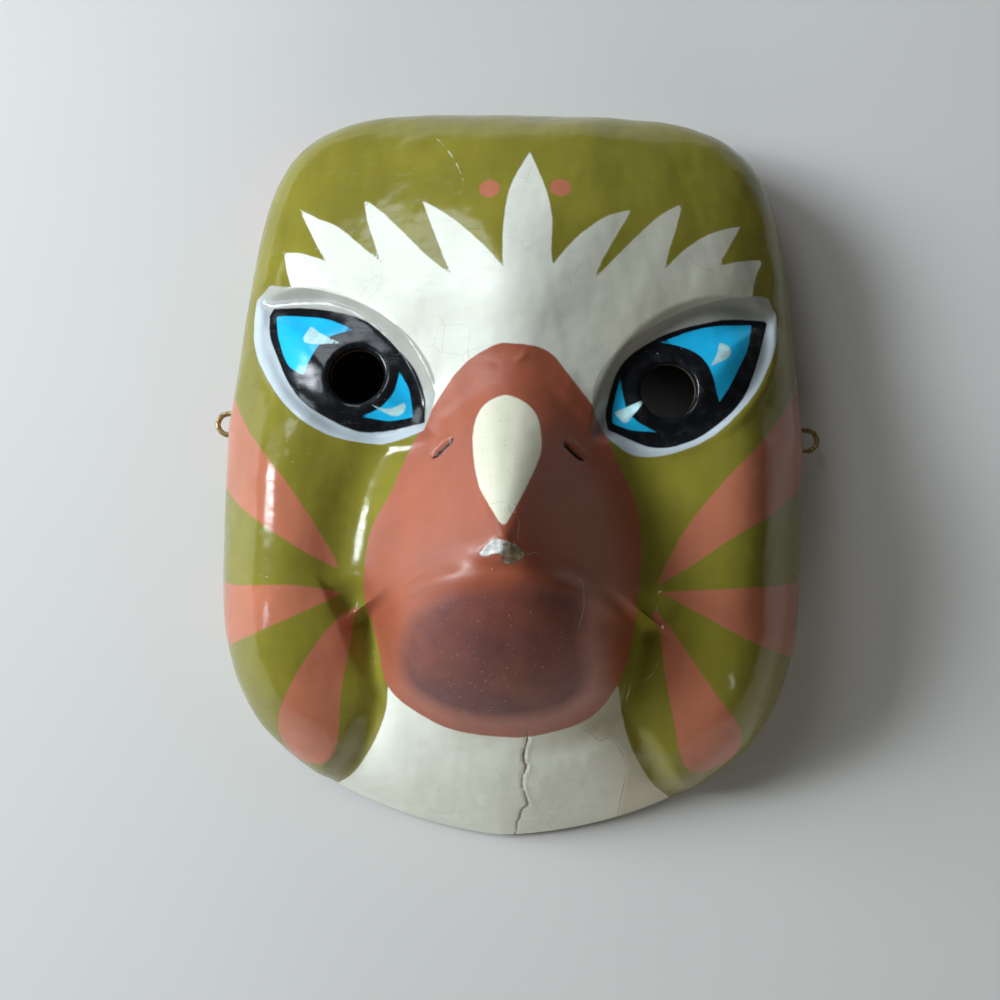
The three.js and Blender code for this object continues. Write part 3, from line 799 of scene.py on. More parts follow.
def opened(x, y, eye, block):
    """Moves the grid so that the edge of the block is the round hole. Also gives the block's
    measure of each place, which is 1 on that edge."""
    left, right, low, high = block
    column, row = np.meshgrid(np.arange(COLUMNS + 1), np.arange(ROWS + 1))
    across = np.abs(2 * column - left - right) / (right - left)
    past = np.maximum(across, np.abs(2 * row - low - high) / (high - low))
    dx, dy = x - eye["pupil"][0], y - eye["pupil"][1]
    reach = np.maximum(np.hypot(dx, dy), 1e-6)
    beyond = np.maximum(past - 1, 0) * PUPIL_BLOCK
    squeezed = PUPIL_RADIUS + beyond**2 / (beyond + PUPIL_SQUEEZE)
    scale = lerp(squeezed, reach, ramp(1, PUPIL_SPREAD, past)) / reach
    return eye["pupil"][0] + dx * scale, eye["pupil"][1] + dy * scale, past


def slopes(x, y, reach):
    """The surface's direction, from heights a little to each side."""
    def height(dx, dy):
        return face_height(x + dx, y + dy, out_of(x + dx, y + dy))

    run_x = (height(reach, 0) - height(-reach, 0)) / (2 * reach)
    run_y = (height(0, reach) - height(0, -reach)) / (2 * reach)
    return run_x, run_y


def surface_normals(x, y, reach):
    """The directions in which the face looks."""
    run_x, run_y = slopes(x, y, reach)
    normals = np.stack([-run_x, -run_y, np.ones_like(x)], -1)
    return normals / np.linalg.norm(normals, axis=-1, keepdims=True)


def lowest_near(x, y):
    """The lowest place of the face round a point, with the general slope there taken off."""
    run_x, run_y = slopes(x, y, 2 * CREASE_SEARCH)
    low = face_height(x, y, out_of(x, y))
    for ring in (CREASE_SEARCH / 2, CREASE_SEARCH):
        for turn in np.arange(0, 2 * math.pi, math.pi / 6):
            dx, dy = ring * math.cos(turn), ring * math.sin(turn)
            near = face_height(x + dx, y + dy, out_of(x + dx, y + dy))
            low = np.minimum(low, near - run_x * dx - run_y * dy)
    return low


def back_places(x, y, past):
    """The back of the mask: the face pushed in by the wall, at every third line of the grid."""
    x, y, past = (grid[::COARSE, ::COARSE] for grid in (x, y, past))
    normals = surface_normals(x, y, BACK_SLOPE)
    free = ramp(1, PUPIL_FREE, past)
    places = np.stack([x, y, face_height(x, y, out_of(x, y))], -1)
    places[..., :2] -= WALL * free[..., None] * normals[..., :2]
    places[..., 2] -= WALL * lerp(1 / normals[..., 2], normals[..., 2], free)
    for _ in range(BACK_PASSES):
        mean = (places[:-2, 1:-1] + places[2:, 1:-1] + places[1:-1, :-2] + places[1:-1, 2:]) / 4
        share = BACK_SMOOTHING * free[1:-1, 1:-1, None]
        places[1:-1, 1:-1] += share * (mean - places[1:-1, 1:-1])
    bx, by, bz = places[..., 0], places[..., 1], places[..., 2]
    limit = np.where(by < CHIN_BACK_Y, CHIN_BACK_FACE, BACK_FACE)
    low = lowest_near(bx, by) - WALL
    places[..., 2] = np.where(out_of(bx, by) < limit, np.minimum(bz, low), bz)
    places[..., 2] = np.maximum(places[..., 2], BACK_LOW)
    edge = np.ones(x.shape, bool)
    edge[1:-1, 1:-1] = False
    share = 1 - WALL / np.hypot(x[edge], y[edge])
    places[edge] = np.stack([x[edge] * share, y[edge] * share, np.full(edge.sum(), RIM_EDGE)], -1)
    return places


def grid_loop(columns, block):
    """Numbers of the points round a block of a grid, counter-clockwise seen from the front."""
    left, right, low, high = block
    run = [(c, low) for c in range(left, right)] + [(right, r) for r in range(low, high)]
    run += [(c, high) for c in range(right, left, -1)] + [(left, r) for r in range(high, low, -1)]
    return np.array([c + r * (columns + 1) for c, r in run])


def sheet_faces(places, blocks):
    """Triangles over a grid, each cell split where its middle bends least. The blocks stay open."""
    rows, columns = places.shape[0] - 1, places.shape[1] - 1
    number = np.arange(places.shape[0] * places.shape[1]).reshape(places.shape[:2])
    corners = [number[:-1, :-1], number[:-1, 1:], number[1:, 1:], number[1:, :-1]]
    a, b, c, d = [places.reshape(-1, 3)[corner] for corner in corners]
    x, y, _ = np.moveaxis((a + c) / 2, -1, 0)
    level = face_height(x, y, out_of(x, y))
    bow_ac = np.abs(a[..., 2] + c[..., 2] - 2 * level)
    bow_bd = np.abs(b[..., 2] + d[..., 2] - 2 * level)
    split_ac = bow_ac <= bow_bd
    split_ac[0, 0] = split_ac[-1, -1] = True
    split_ac[0, -1] = split_ac[-1, 0] = False
    kept = np.ones((rows, columns), bool)
    for left, right, low, high in blocks:
        kept[low:high, left:right] = False
    a, b, c, d = [corner[kept] for corner in corners]
    first = np.where(split_ac[kept][:, None], np.stack([a, b, c], 1), np.stack([a, b, d], 1))
    second = np.where(split_ac[kept][:, None], np.stack([a, c, d], 1), np.stack([b, c, d], 1))
    return np.vstack([first, second])


def ring_faces(upper, lower):
    """Triangles between two rings of as many points, facing away from their middle."""
    next_upper, next_lower = np.roll(upper, -1), np.roll(lower, -1)
    return np.vstack([
        np.stack([lower, next_lower, next_upper], 1), np.stack([lower, next_upper, upper], 1)
    ])


def fan_faces(fine, coarse):
    """Triangles between a ring and one with a third of its points, facing away from the middle."""
    f0, f1, f2 = fine[::3], fine[1::3], fine[2::3]
    f3, c1 = np.roll(f0, -1), np.roll(coarse, -1)
    parts = [(coarse, f1, f0), (coarse, f2, f1), (coarse, c1, f2), (c1, f3, f2)]
    return np.vstack([np.stack(part, 1) for part in parts])


def painted_fields(places):
    """Signed distances to the edges of the painted areas, above 0 inside, at places spread flat."""
    def inside(loops):
        return np.max([signed_distance(places, loop) for loop in loops], axis=0)

    def drawn(outlines):
        return inside([laid(outline(strokes)) for strokes in outlines])

    dots = laid(BROW_DOTS)
    dot = DOT_RADIUS - np.min([np.hypot(*(places - centre).T) for centre in dots], axis=0)
    stripes = [stripe_loop(edges) for edges in STRIPES.values()]
    stripes += [corner_stripe_loop(turns) for turns in CORNER_STRIPES]
    fields = {
        "stripes": np.maximum.reduce([inside(stripes), drawn(LOWER_STRIPES), dot]),
        "white": drawn([WHITE_BROW, WHITE_NECK]),
        "beak": drawn([BEAK]),
        "drop": drawn([WHITE_DROP]),
        "lids": drawn(LIDS),
        "lines": drawn(EYE_LINES),
        "blues": drawn(BLUES),
        "glints": drawn(GLINTS),
        "chip": drawn([CHIP]),
        "jaw": drawn([JAW_FACE]),
        "stain": drawn([STAIN]),
    }
    for name, lines in DRAWN_LINES.items():
        across = np.full(len(places), LINE_REACH)
        along = np.full(len(places), -1.0)
        for line in lines:
            beside, share = beside_line(places, laid(curve_through(line)))
            nearer = np.abs(beside) < np.abs(across)
            across = np.where(nearer, beside, across)
            along = np.where(nearer, share, along)
        fields[name], fields[name + "_along"] = across, along
    return fields


def leaning(x, y, out):
    """The outward lean of the cheeks and of the two halves of the brow."""
    ax = np.abs(x)
    hollow, crest = CHEEK_LEAN["hollow"], CHEEK_LEAN["crest"]
    near, far = CHEEK_LEAN["ends"]
    cheek = 2 * ramp(hollow, crest, ax) - ramp(near, hollow, ax) - ramp(crest, far, ax)
    cheek *= ramp(*CHEEK_LEAN["above"], y) * ramp(*CHEEK_LEAN["below"], y)
    brow = (1 - 2 * ramp(*BROW_LEAN["across"], ax)) * ramp(*BROW_LEAN["from"], y)
    brow *= ramp(*BROW_LEAN["fade"], out)
    return CHEEK_LEAN["rise"] * cheek + BROW_LEAN["rise"] * brow


def window(along, fade):
    """1 along a line, fading out at both ends."""
    return ramp(0, fade, along) * ramp(1, 1 - fade, along)


def relief(places, fields, sizes):
    """What stands out of the moulded form, or is cut into it, at places spread flat."""
    x, y = places.T
    height = sizes.lumps * waves(x, y, **LUMPS) + sizes.ripples * waves(x, y, **RIPPLES)
    height -= sizes.chip_depth * ramp(0, CHIP_EDGE, fields["chip"])
    slit = sizes.nostril_depth * swell(fields["nostrils"], NOSTRIL["slit"])
    flap = NOSTRIL["flap"] * swell(fields["nostrils"] - NOSTRIL["flap_off"], NOSTRIL["flap_width"])
    height += (flap - slit) * window(fields["nostrils_along"], NOSTRIL["fade"])
    wrinkle = WRINKLE["rise"] * swell(fields["wrinkles"], WRINKLE["width"])
    height += wrinkle * window(fields["wrinkles_along"], WRINKLE["fade"])
    hairline = HAIRLINE["depth"] * swell(fields["hairlines"], HAIRLINE["width"])
    height -= hairline * window(fields["hairlines_along"], HAIRLINE["fade"])
    on_crack = window(fields["crack_along"], CRACK["fade"])
    groove = sizes.crack_depth * swell(fields["crack"], CRACK["width"])
    sliver = CRACK["rise"] * swell(fields["crack"] - CRACK["off"], CRACK["sliver"])
    lifted = window(np.clip(fields["crack_along"] / CRACK["lifted"], 0, 1), CRACK["lift_fade"])
    return height + sliver * lifted * on_crack - groove * on_crack


def rim_rings(x, y):
    """The rings of the flat rim and its rounded edges, at every third point of the face's edge."""
    reach, angle = np.hypot(x, y), np.arctan2(y, x)
    rings = []
    for inset, height in RIM_RINGS:
        r = reach - inset
        rings.append(np.stack([r * np.cos(angle), r * np.sin(angle), np.full(r.size, height)], -1))
    return rings


def shell_fields(x, y, rim):
    """What the paint reads, at the places of the face and on the rings below its edge."""
    spread = unrolled(x, y)
    skirt = [spread[rim] * (1 + (RIM_EDGE - height) / HALF_WIDTH) for _, height in RIM_RINGS]
    places = np.vstack([spread] + skirt)
    fields = painted_fields(places)
    fields["inside"] = np.zeros(len(places))
    # Share of the upper half of each lid, which gets a darker taupe: partly its own tone, partly
    # painted shade of the lid sunk under the brow.
    fields["upper_lid"] = np.zeros(len(places))
    for eye in EYES:
        above, below, side = past_lids(eye, x, y)
        near = np.maximum(above, below) < LID_REACH
        fields["upper_lid"][:x.size][near] = ramp(*LID_TURN, side[near])
    return places, fields


def raised(x, y, places, fields, sizes):
    """How far each place of the face moves out along its normal."""
    out = out_of(x, y)
    fade = ramp(1, RELIEF_FADE, out)
    rise = relief(places, fields, sizes)[:x.size] * fade
    rise -= TIP_WEAR["drop"] * swell(np.hypot(x, y - BEAK_TIP[1]), TIP_WEAR["width"])
    return rise + leaning(x, y, out) * fade


def shell_mesh(sizes):
    """The whole shell as one closed mesh, with its painted areas as attributes."""
    x, y = grid_places()
    blocks = [pupil_block(x, y, eye) for eye in EYES]
    past = np.full(x.shape, np.inf)
    for eye, block in zip(EYES, blocks):
        x, y, measure = opened(x, y, eye, block)
        past = np.minimum(past, measure)
    face = np.stack([x, y, face_height(x, y, out_of(x, y))], -1)
    normals = surface_normals(x, y, FACE_SLOPE).reshape(-1, 3)
    faces = [sheet_faces(face, blocks)]
    back = back_places(x, y, past)
    back_blocks = [[end // COARSE for end in block] for block in blocks]
    face_count, back_count = x.size, back[..., 0].size
    faces.append(sheet_faces(back, back_blocks)[:, ::-1] + face_count)

    for eye, block, back_block in zip(EYES, blocks, back_blocks):
        lip = grid_loop(COLUMNS, block)
        lower = grid_loop(COLUMNS // COARSE, back_block) + face_count
        faces.append(fan_faces(lip, lower)[:, ::-1])
        from_hole = np.hypot(x - eye["pupil"][0], y - eye["pupil"][1]) - PUPIL_RADIUS
        turn = np.clip(1 - from_hole / sizes.hole_edge, 0, 1)
        face[..., 2] -= sizes.hole_edge * (1 - np.sqrt(1 - turn**2))

    rim = grid_loop(COLUMNS, (0, COLUMNS, 0, ROWS))
    back_rim = grid_loop(COLUMNS // COARSE, (0, COLUMNS // COARSE, 0, ROWS // COARSE)) + face_count
    x, y, coarse_rim = x.ravel(), y.ravel(), rim[::COARSE]
    rings = rim_rings(x[coarse_rim], y[coarse_rim])
    first, per_ring = face_count + back_count, len(coarse_rim)
    numbers = [np.arange(per_ring) + first + k * per_ring for k in range(len(rings))]
    faces.append(fan_faces(rim, numbers[0]))
    for upper, lower in zip(numbers, numbers[1:] + [back_rim]):
        faces.append(ring_faces(upper, lower))

    places, fields = shell_fields(x, y, coarse_rim)
    rise = raised(x, y, places, fields, sizes)
    moved = face.reshape(-1, 3) + normals * rise[:, None]
    vertices = np.vstack([moved, back.reshape(-1, 3)] + rings)
    values = {}
    for name, field in fields.items():
        behind = np.full(back_count, 1.0 if name == "inside" else field.min())
        values[name] = np.concatenate([field[:face_count], behind, field[face_count:]])
    values["inside"][first + OUTER_RINGS * per_ring:] = 1.0
    return vertices, np.vstack(faces), values


class Value:
    """A socket of a node. Arithmetic with it adds Math nodes."""

    def __init__(self, nodes, socket):
        self.nodes, self.socket = nodes, socket

    def maths(self, operation, *values, clamp=False):
        numbers = dict(enumerate(values))
        return self.nodes.node("ShaderNodeMath", numbers, operation=operation, use_clamp=clamp)

    def __add__(self, other):
        return self.maths("ADD", self, other)

    def __sub__(self, other):
        return self.maths("SUBTRACT", self, other)

    def __rsub__(self, other):
        return self.maths("SUBTRACT", other, self)

    def __mul__(self, other):
        return self.maths("MULTIPLY", self, other)

    def __abs__(self):
        return self.maths("ABSOLUTE", self)

    __radd__, __rmul__ = __add__, __mul__

    def step(self, low, high):
        """0 below low and 1 above high, or the other way round."""
        scale = 1 / (high - low)
        return self.maths("MULTIPLY_ADD", self, scale, -low * scale, clamp=True)

    def also(self, name):
        """Another output of the same node."""
        return Value(self.nodes, self.socket.node.outputs[name])


class Nodes:
    """Adds nodes to a tree."""

    def __init__(self, tree):
        self.tree = tree
        tree.nodes.clear()

    def node(self, kind, values=None, output=0, **settings):
        """Adds a node, sets it up, then fills or links its sockets. Gives one of its outputs."""
        node = self.tree.nodes.new(kind)
        for name, setting in settings.items():
            setattr(node, name, setting)
        for key, value in (values or {}).items():
            if isinstance(value, Value):
                self.tree.links.new(value.socket, node.inputs[key])
            else:
                node.inputs[key].default_value = value
        return Value(self, node.outputs[output]) if len(node.outputs) else node


class PaintNodes(Nodes):
    """The nodes that a painted material uses most."""

    def __init__(self, name):
        self.material = bpy.data.materials.new(name)
        self.material.use_nodes = True
        super().__init__(self.material.node_tree)
        self.place = self.node("ShaderNodeTexCoord", output="Object")

    def noise(self, scale, detail=3.0, stretch=(1, 1, 1), turn=(0, 0, 0)):
        place = self.place
        if stretch != (1, 1, 1) or turn != (0, 0, 0):
            moved = {"Vector": place, "Scale": stretch, "Rotation": turn}
            place = self.node("ShaderNodeMapping", moved)
        values = {"Vector": place, "Scale": scale, "Detail": detail}
        return self.node("ShaderNodeTexNoise", values)

    def field(self, name):
        return self.node("ShaderNodeAttribute", output="Fac", attribute_name=name)

    def specks(self, scale, size, share):
        """Round spots of at most the size, in cells of the scale. Only a share of cells has one."""
        cells = self.node("ShaderNodeTexVoronoi", {"Vector": self.place, "Scale": scale})
        drawn = self.node("ShaderNodeSeparateColor", {0: cells.also("Color")}, output=0)
        spot = cells.step(size, 0.6 * size)
        return spot * drawn.step(share, share * 0.98)

    def over(self, below, paint, mask):
        """A paint over what is below it, where the mask is 1."""
        layers = {0: mask, 6: below, 7: paint}
        return self.node("ShaderNodeMix", layers, output=2, data_type="RGBA")

    def axis(self, name):
        return self.node("ShaderNodeSeparateXYZ", {0: self.place}, output=name)

    def scaled(self, paint, factor):
        """A paint made lighter or darker all over."""
        return self.node("ShaderNodeVectorMath", {0: paint, 3: factor}, operation="SCALE")

    def finish(self, **sockets):
        """Feeds the shader's sockets and gives the finished material."""
        shader = self.node("ShaderNodeBsdfPrincipled", {
            name.replace("_", " ").title(): value for name, value in sockets.items()
        })
        self.node("ShaderNodeOutputMaterial", {"Surface": shader})
        return self.material


def tint(colour, factor):
    """A lighter or darker version of a colour."""
    return tuple(channel * factor for channel in colour[:3]) + (1.0,)


class ShellPaint(PaintNodes):
    """The nodes of the painted shell, with the uneven patterns that its paints share."""

    def __init__(self, name):
        super().__init__(name)
        self.broad, self.middling, self.fine = map(self.noise, (BROAD, MIDDLING, FINE))
        self.dust = self.noise(DUST, detail=1)
        self.wobble = (self.fine - 0.5) * PAINT_EDGE["fine"]
        self.wobble += (self.noise(PAINT_EDGE["scale"]) - 0.5) * PAINT_EDGE["coarse"]
        streaks = self.noise(60, stretch=(5, 0.8, 1))
        self.mottle = self.broad * 0.5 + self.middling * 0.35 + streaks * 0.15
        self.across, self.height = self.axis("X"), self.axis("Z")

    def area(self, name, soft=PAINT_EDGE["soft"]):
        """1 inside a painted area, with a slightly uneven edge."""
        return (self.field(name) + self.wobble).step(-soft, soft)

    def line(self, name, thick, thin, fade):
        """1 on a drawn line, which fades at both ends."""
        uneven = self.field(name) + (self.dust - 0.5) * PAINT_EDGE["line"]
        on_line = abs(uneven).step(thick, thin)
        along = self.field(name + "_along")
        return on_line * along.step(0, fade) * along.step(1, 1 - fade)

    def stroke(self, name):
        """1 on a drawn line of its usual width."""
        return self.line(name, *DRAWN_STROKES[name])

    def varied(self, colour, dark, light, pattern=None):
        """A colour between a darker and a lighter version of itself, by a pattern."""
        pattern = self.mottle if pattern is None else pattern
        return self.over(tint(colour, dark), tint(colour, light), pattern.step(0.35, 0.65))


def white_paint(n, colours):
    """The white: dirty, water-stained on the neck, crazed, and yellowed at the brow's right,
    darkened there as painted shade.
    """
    white = n.varied(colours.white, 0.9, 1.04)
    white = n.over(white, tint(colours.dirt_and_shade, 1.8), n.middling.step(0.6, 0.85) * 0.25)
    stain = n.field("stain") + n.wobble
    stained = n.varied(colours.stain, 0.9, 1.05)
    white = n.over(white, stained, stain.step(-0.0002, 0.0015) * 0.7)
    tide = abs(stain).step(0.0004, 0.0001) * n.middling.step(0.35, 0.6)
    white = n.over(white, tint(colours.dirt_and_shade, 3.2), tide * 0.5)
    # The right of the brow is yellowed and darker: partly real yellowing, partly painted shade on
    # the side away from the light.
    yellowed = (n.across + n.mottle * 0.01).step(*YELLOWED_AND_SHADED["across"])
    yellowed *= n.height.step(*YELLOWED_AND_SHADED["height"])
    white = n.over(white, n.varied(colours.stain, 0.62, 0.72), yellowed * 0.55)
    cells = {"Vector": n.place, "Scale": CRAZING, "Randomness": 1.0}
    to_edge = n.node("ShaderNodeTexVoronoi", cells, feature="DISTANCE_TO_EDGE")
    crazed = (to_edge + (n.fine - 0.5) * 0.03).step(0.02, 0.005) * n.noise(35).step(0.52, 0.62)
    return n.over(white, tint(colours.dirt_and_shade, 2.0), crazed * 0.22)


def beak_paint(n, colours, dull, dusty):
    """Terracotta, dull and dusty on the jaw."""
    beak = n.varied(colours.terracotta, 0.86, 1.12)
    beak = n.over(beak, n.varied(colours.jaw, 0.92, 1.08), dusty * 0.9)
    return n.over(beak, tint(colours.white, 0.7), dull * n.dust.step(0.68, 0.8) * 0.35)


def drop_paint(n, colours):
    """Cream with dust in it."""
    drop = n.varied(colours.drop, 0.92, 1.04)
    return n.over(drop, tint(colours.dirt_and_shade, 1.5), n.dust.step(0.66, 0.8) * 0.4)


def with_eyes(n, colours, paint, on_lid):
    """The lids, the black leaf inside them, and the blue and light strokes on that."""
    # The upper half of each lid is darker than the lower: partly its own taupe, partly painted
    # shade of the sunk lid.
    lower, upper = n.varied(colours.lid, 0.9, 1.08), n.varied(colours.upper_lid, 0.8, 1.1)
    paint = n.over(paint, n.over(lower, upper, n.field("upper_lid")), on_lid)
    faded = n.fine.step(0.5, 0.8)
    worn_black = n.over(tint(colours.black, 0.7), tint(colours.black, 2.0), faded)
    paint = n.over(paint, worn_black, n.area("lines"))
    paint = n.over(paint, n.varied(colours.blue, 0.9, 1.12, n.middling), n.area("blues"))
    return n.over(paint, n.varied(colours.glint, 0.85, 1.15, n.fine), n.area("glints"))


def with_wear(n, colours, paint, chip, on_beak):
    """The chip, the hairlines, the crack with brown beside it, and the scratch."""
    # The right end of the chip is darker and browner: partly soiled ground, partly painted shade
    # under the beak's tip.
    soiled_and_shaded = (n.across + n.wobble).step(-0.0005, 0.0025)
    ground = n.over(colours.raw, colours.soiled_and_shaded, soiled_and_shaded)
    crumbs = n.noise(420, detail=4).step(0.38, 0.6)
    paint = n.over(paint, n.over(n.scaled(ground, 0.55), n.scaled(ground, 1.15), crumbs), chip)
    hairline = n.over(tint(colours.dirt_and_shade, 1.0), tint(colours.white, 0.6), on_beak)
    paint = n.over(paint, hairline, n.stroke("hairlines") * 0.45)
    beside_crack = n.line("crack", *BESIDE_CRACK) * n.middling.step(0.4, 0.6)
    paint = n.over(paint, tint(colours.dirt_and_shade, 2.2), beside_crack * 0.6)
    crack = n.stroke("crack") * n.fine.step(0.3, 0.5)
    paint = n.over(paint, tint(colours.dirt_and_shade, 0.9), crack * 0.85)
    scratch = n.stroke("scratch") * n.fine.step(0.4, 0.55)
    return n.over(paint, tint(colours.white, 0.8), scratch * 0.8)


def bare_paper(n, colours):
    """The brown paper of the back, a little different from sheet to sheet, and dark partly as
    painted shade of the hollow seen through the eye holes.
    """
    sheets = n.node("ShaderNodeTexVoronoi", {"Vector": n.place, "Scale": PAPER_SHEETS})
    shade = n.node("ShaderNodeSeparateColor", {0: sheets.also("Color")}, output=0)
    return n.scaled(n.varied(colours.bare, 0.75, 1.15), shade * 0.25 + 0.85)


def smears_of(n):
    """Duller patches where the varnish is rubbed or dusty."""
    return n.noise(28, detail=4, stretch=(1, 2.5, 1)).step(0.3, 0.7) * 0.08


def painted_paper(colours, varnish):
    """Paint, layer on layer, under one clear varnish, and the bare back."""
    n = ShellPaint("painted_paper")
    on_white, on_beak, on_lid = map(n.area, ("white", "beak", "lids"))
    chip = n.area("chip", CHIP_SOFT)
    inside = n.field("inside").step(0.4, 0.6)
    dull = (n.field("jaw") + (n.mottle - 0.5) * 0.006).step(*JAW_EDGE)
    dusty = dull * (n.noise(60, detail=6).step(0.2, 0.6) * 0.5 + 0.5)
    dark_specks, pale_specks = n.specks(**DARK_SPECKS), n.specks(**PALE_SPECKS)

    paint = n.varied(colours.olive, 0.78, 1.18)
    paint = n.over(paint, n.varied(colours.salmon, 0.85, 1.12), n.area("stripes"))
    paint = n.over(paint, white_paint(n, colours), on_white)
    paint = n.over(paint, beak_paint(n, colours, dull, dusty), on_beak)
    paint = n.over(paint, drop_paint(n, colours), n.area("drop"))
    # The nostril slits are painted nearly black: painted shade inside the narrow cuts.
    paint = n.over(paint, tint(colours.dirt_and_shade, 0.15), n.stroke("nostrils"))
    paint = with_eyes(n, colours, paint, on_lid)
    paint = with_wear(n, colours, paint, chip, on_beak)
    paint = n.over(paint, tint(colours.dirt_and_shade, 0.7), dark_specks * 0.6)
    paint = n.over(paint, tint(colours.white, 0.8), pale_specks * 0.4)
    # A dark band on the bottom of the rim: partly dark edge paint, partly painted contact shadow
    # where the mask meets the floor.
    paint = n.over(paint, colours.rim, (n.height + n.wobble).step(*DARK_RIM_AND_SHADOW))
    paint = n.over(paint, bare_paper(n, colours), inside)

    matte = chip.maths("MAXIMUM", chip, inside)
    roughness = smears_of(n) + varnish.roughness
    roughness += (WHITE_ROUGHNESS - roughness) * on_white
    roughness += (varnish.beak + n.broad * 0.1 - roughness) * on_beak
    roughness += (LID_ROUGHNESS - roughness) * on_lid
    roughness += dusty * on_beak * 0.1
    roughness += (BARE_ROUGHNESS - roughness) * matte
    peel = n.noise(240, detail=2) * 0.5 + n.noise(90, detail=2)
    scratches = abs(n.noise(40, stretch=(1, 9, 1), turn=(0, 0, 0.5)) - 0.5).step(0.004, 0.0)
    bumps = peel * varnish.peel - scratches * 0.00002
    bumps = bumps + matte * n.noise(700, detail=3) * 0.0004 - (dark_specks + pale_specks) * 0.00004
    normal = n.node("ShaderNodeBump", {"Height": bumps, "Strength": 1.0, "Distance": 1.0})
    sheen = on_beak * (1 - dull) * varnish.sheen
    return n.finish(
        base_color=paint, roughness=roughness, normal=normal, coat_weight=sheen,
        coat_roughness=SHEEN_ROUGHNESS,
    )


def wire_metal(colours):
    """Worn brass with patches of grime."""
    n = PaintNodes("wire_metal")
    wear = n.noise(500, detail=4)
    worn = n.over(tint(colours.brass, 0.7), tint(colours.brass, 1.2), wear.step(0.4, 0.6))
    grime = n.noise(900, detail=2).step(0.52, 0.62)
    paint = n.over(worn, tint(colours.dirt_and_shade, 0.8), grime * 0.7)
    dents = {"Height": wear * 0.00008, "Strength": 1.0, "Distance": 1.0}
    normal = n.node("ShaderNodeBump", dents)
    return n.finish(
        base_color=paint, metallic=(1 - grime) * 0.85, roughness=wear * 0.2 + grime * 0.3 + 0.22,
        normal=normal,
    )


def pale_floor(colours):
    """The plain floor, a little uneven in tone."""
    n = PaintNodes("pale_floor")
    tone = n.over(tint(colours.floor, 0.97), tint(colours.floor, 1.03), n.noise(6))
    return n.finish(base_color=tone, roughness=n.noise(40) * 0.1 + 0.6)


def new_piece(name, mesh, material, slot=None):
    """An object of one material. With a slot it is a piece of the mask, and rides with it."""
    piece = bpy.data.objects.new(name, mesh)
    bpy.context.scene.collection.objects.link(piece)
    mesh.materials.clear()
    mesh.materials.append(material)
    if slot:
        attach(piece, "root")
    return piece


def picture_colour(red, green, blue):
    """A colour as a picture gives it, from 0 to 255, as linear light."""
    def linear(value):
        share = value / 255
        return share / 12.92 if share <= 0.04045 else ((share + 0.055) / 1.055) ** 2.4

    return linear(red), linear(green), linear(blue), 1.0


def colour_property(name, description, *picture):
    return bpy.props.FloatVectorProperty(
        name=name, description=description, subtype="COLOR", size=4, min=0, max=1,
        default=picture_colour(*picture),
    )


def length_property(name, description, default, most):
    return bpy.props.FloatProperty(
        name=name, description=description, default=default, min=0, max=most,
        subtype="DISTANCE", unit="LENGTH", precision=5,
    )


def power_property(name, description, default):
    return bpy.props.FloatProperty(
        name=name, description=description, default=default, min=0, max=200, unit="POWER"
    )


def share_property(name, description, default):
    return bpy.props.FloatProperty(
        name=name, description=description, default=default, min=0, max=1, subtype="FACTOR"
    )


class MaskSizes(bpy.types.PropertyGroup):
    """The fine forms on the moulded shell."""

    lumps: length_property("Lumps", "Height of the broad lumps of the paper", 0.00012, 0.001)
    ripples: length_property("Ripples", "Height of the small ripples", 0.00003, 0.0005)
    hole_edge: length_property("Hole edge", "Radius of an eye hole's rounded edge", 0.0018, 0.003)
    nostril_depth: length_property("Nostril depth", "Depth of the two slits", 0.0012, 0.003)
    chip_depth: length_property("Chip depth", "Depth of the chip at the beak's tip", 0.0005, 0.001)
    crack_depth: length_property("Crack depth", "Depth of the crack down the neck", 0.0004, 0.001)


class MaskColours(bpy.types.PropertyGroup):
    """The paints, the bare paper and the wire."""

    olive: colour_property("Olive", "The ground of the face", 126, 118, 42)
    white: colour_property("White", "The feathers of the brow, and the neck", 220, 219, 202)
    terracotta: colour_property("Terracotta", "The beak", 158, 84, 58)
    jaw: colour_property("Dusty jaw", "The dull patch under the mouth", 96, 61, 59)
    salmon: colour_property("Salmon", "The stripes and the two dots", 177, 107, 79)
    drop: colour_property("Cream", "The drop on the beak", 222, 216, 190)
    lid: colour_property("Grey", "The lower half of a lid", 182, 190, 192)
    # Darker than the lower half: partly its own tone, partly painted shade.
    upper_lid: colour_property("Taupe", "The upper half of a lid", 166, 164, 152)
    black: colour_property("Black", "The leaf round an eye", 22, 23, 25)
    blue: colour_property("Blue", "The corners of an eye", 30, 172, 216)
    glint: colour_property("Glint", "The light strokes in the eyes", 178, 212, 210)
    raw: colour_property("Chipped ground", "The clean end of the chip", 196, 194, 184)
    # The right end of the chip: partly soiled ground, partly painted shade.
    soiled_and_shaded: colour_property("Soiled ground", "The soiled end of the chip", 150, 130, 100)
    # Also, nearly black, the painted shade inside the nostril slits.
    dirt_and_shade: colour_property("Dirt", "Specks, stains and the crack", 84, 60, 40)
    # The band at the foot of the rim: partly dark paint, partly painted contact shadow.
    rim: colour_property("Rim", "The edge that the mask lies on", 34, 44, 38)
    # Partly the paper's own brown, partly painted shade of the hollow behind the eye holes.
    bare: colour_property("Bare paper", "The back of the mask", 104, 90, 70)
    # Darkened, this colour also paints the right of the brow, partly as painted shade.
    stain: colour_property("Water stain", "The yellowed neck and brow", 196, 186, 158)
    brass: colour_property("Brass", "The wire eyes", 200, 176, 120)
    floor: colour_property("Floor", "The floor", 202, 198, 191)


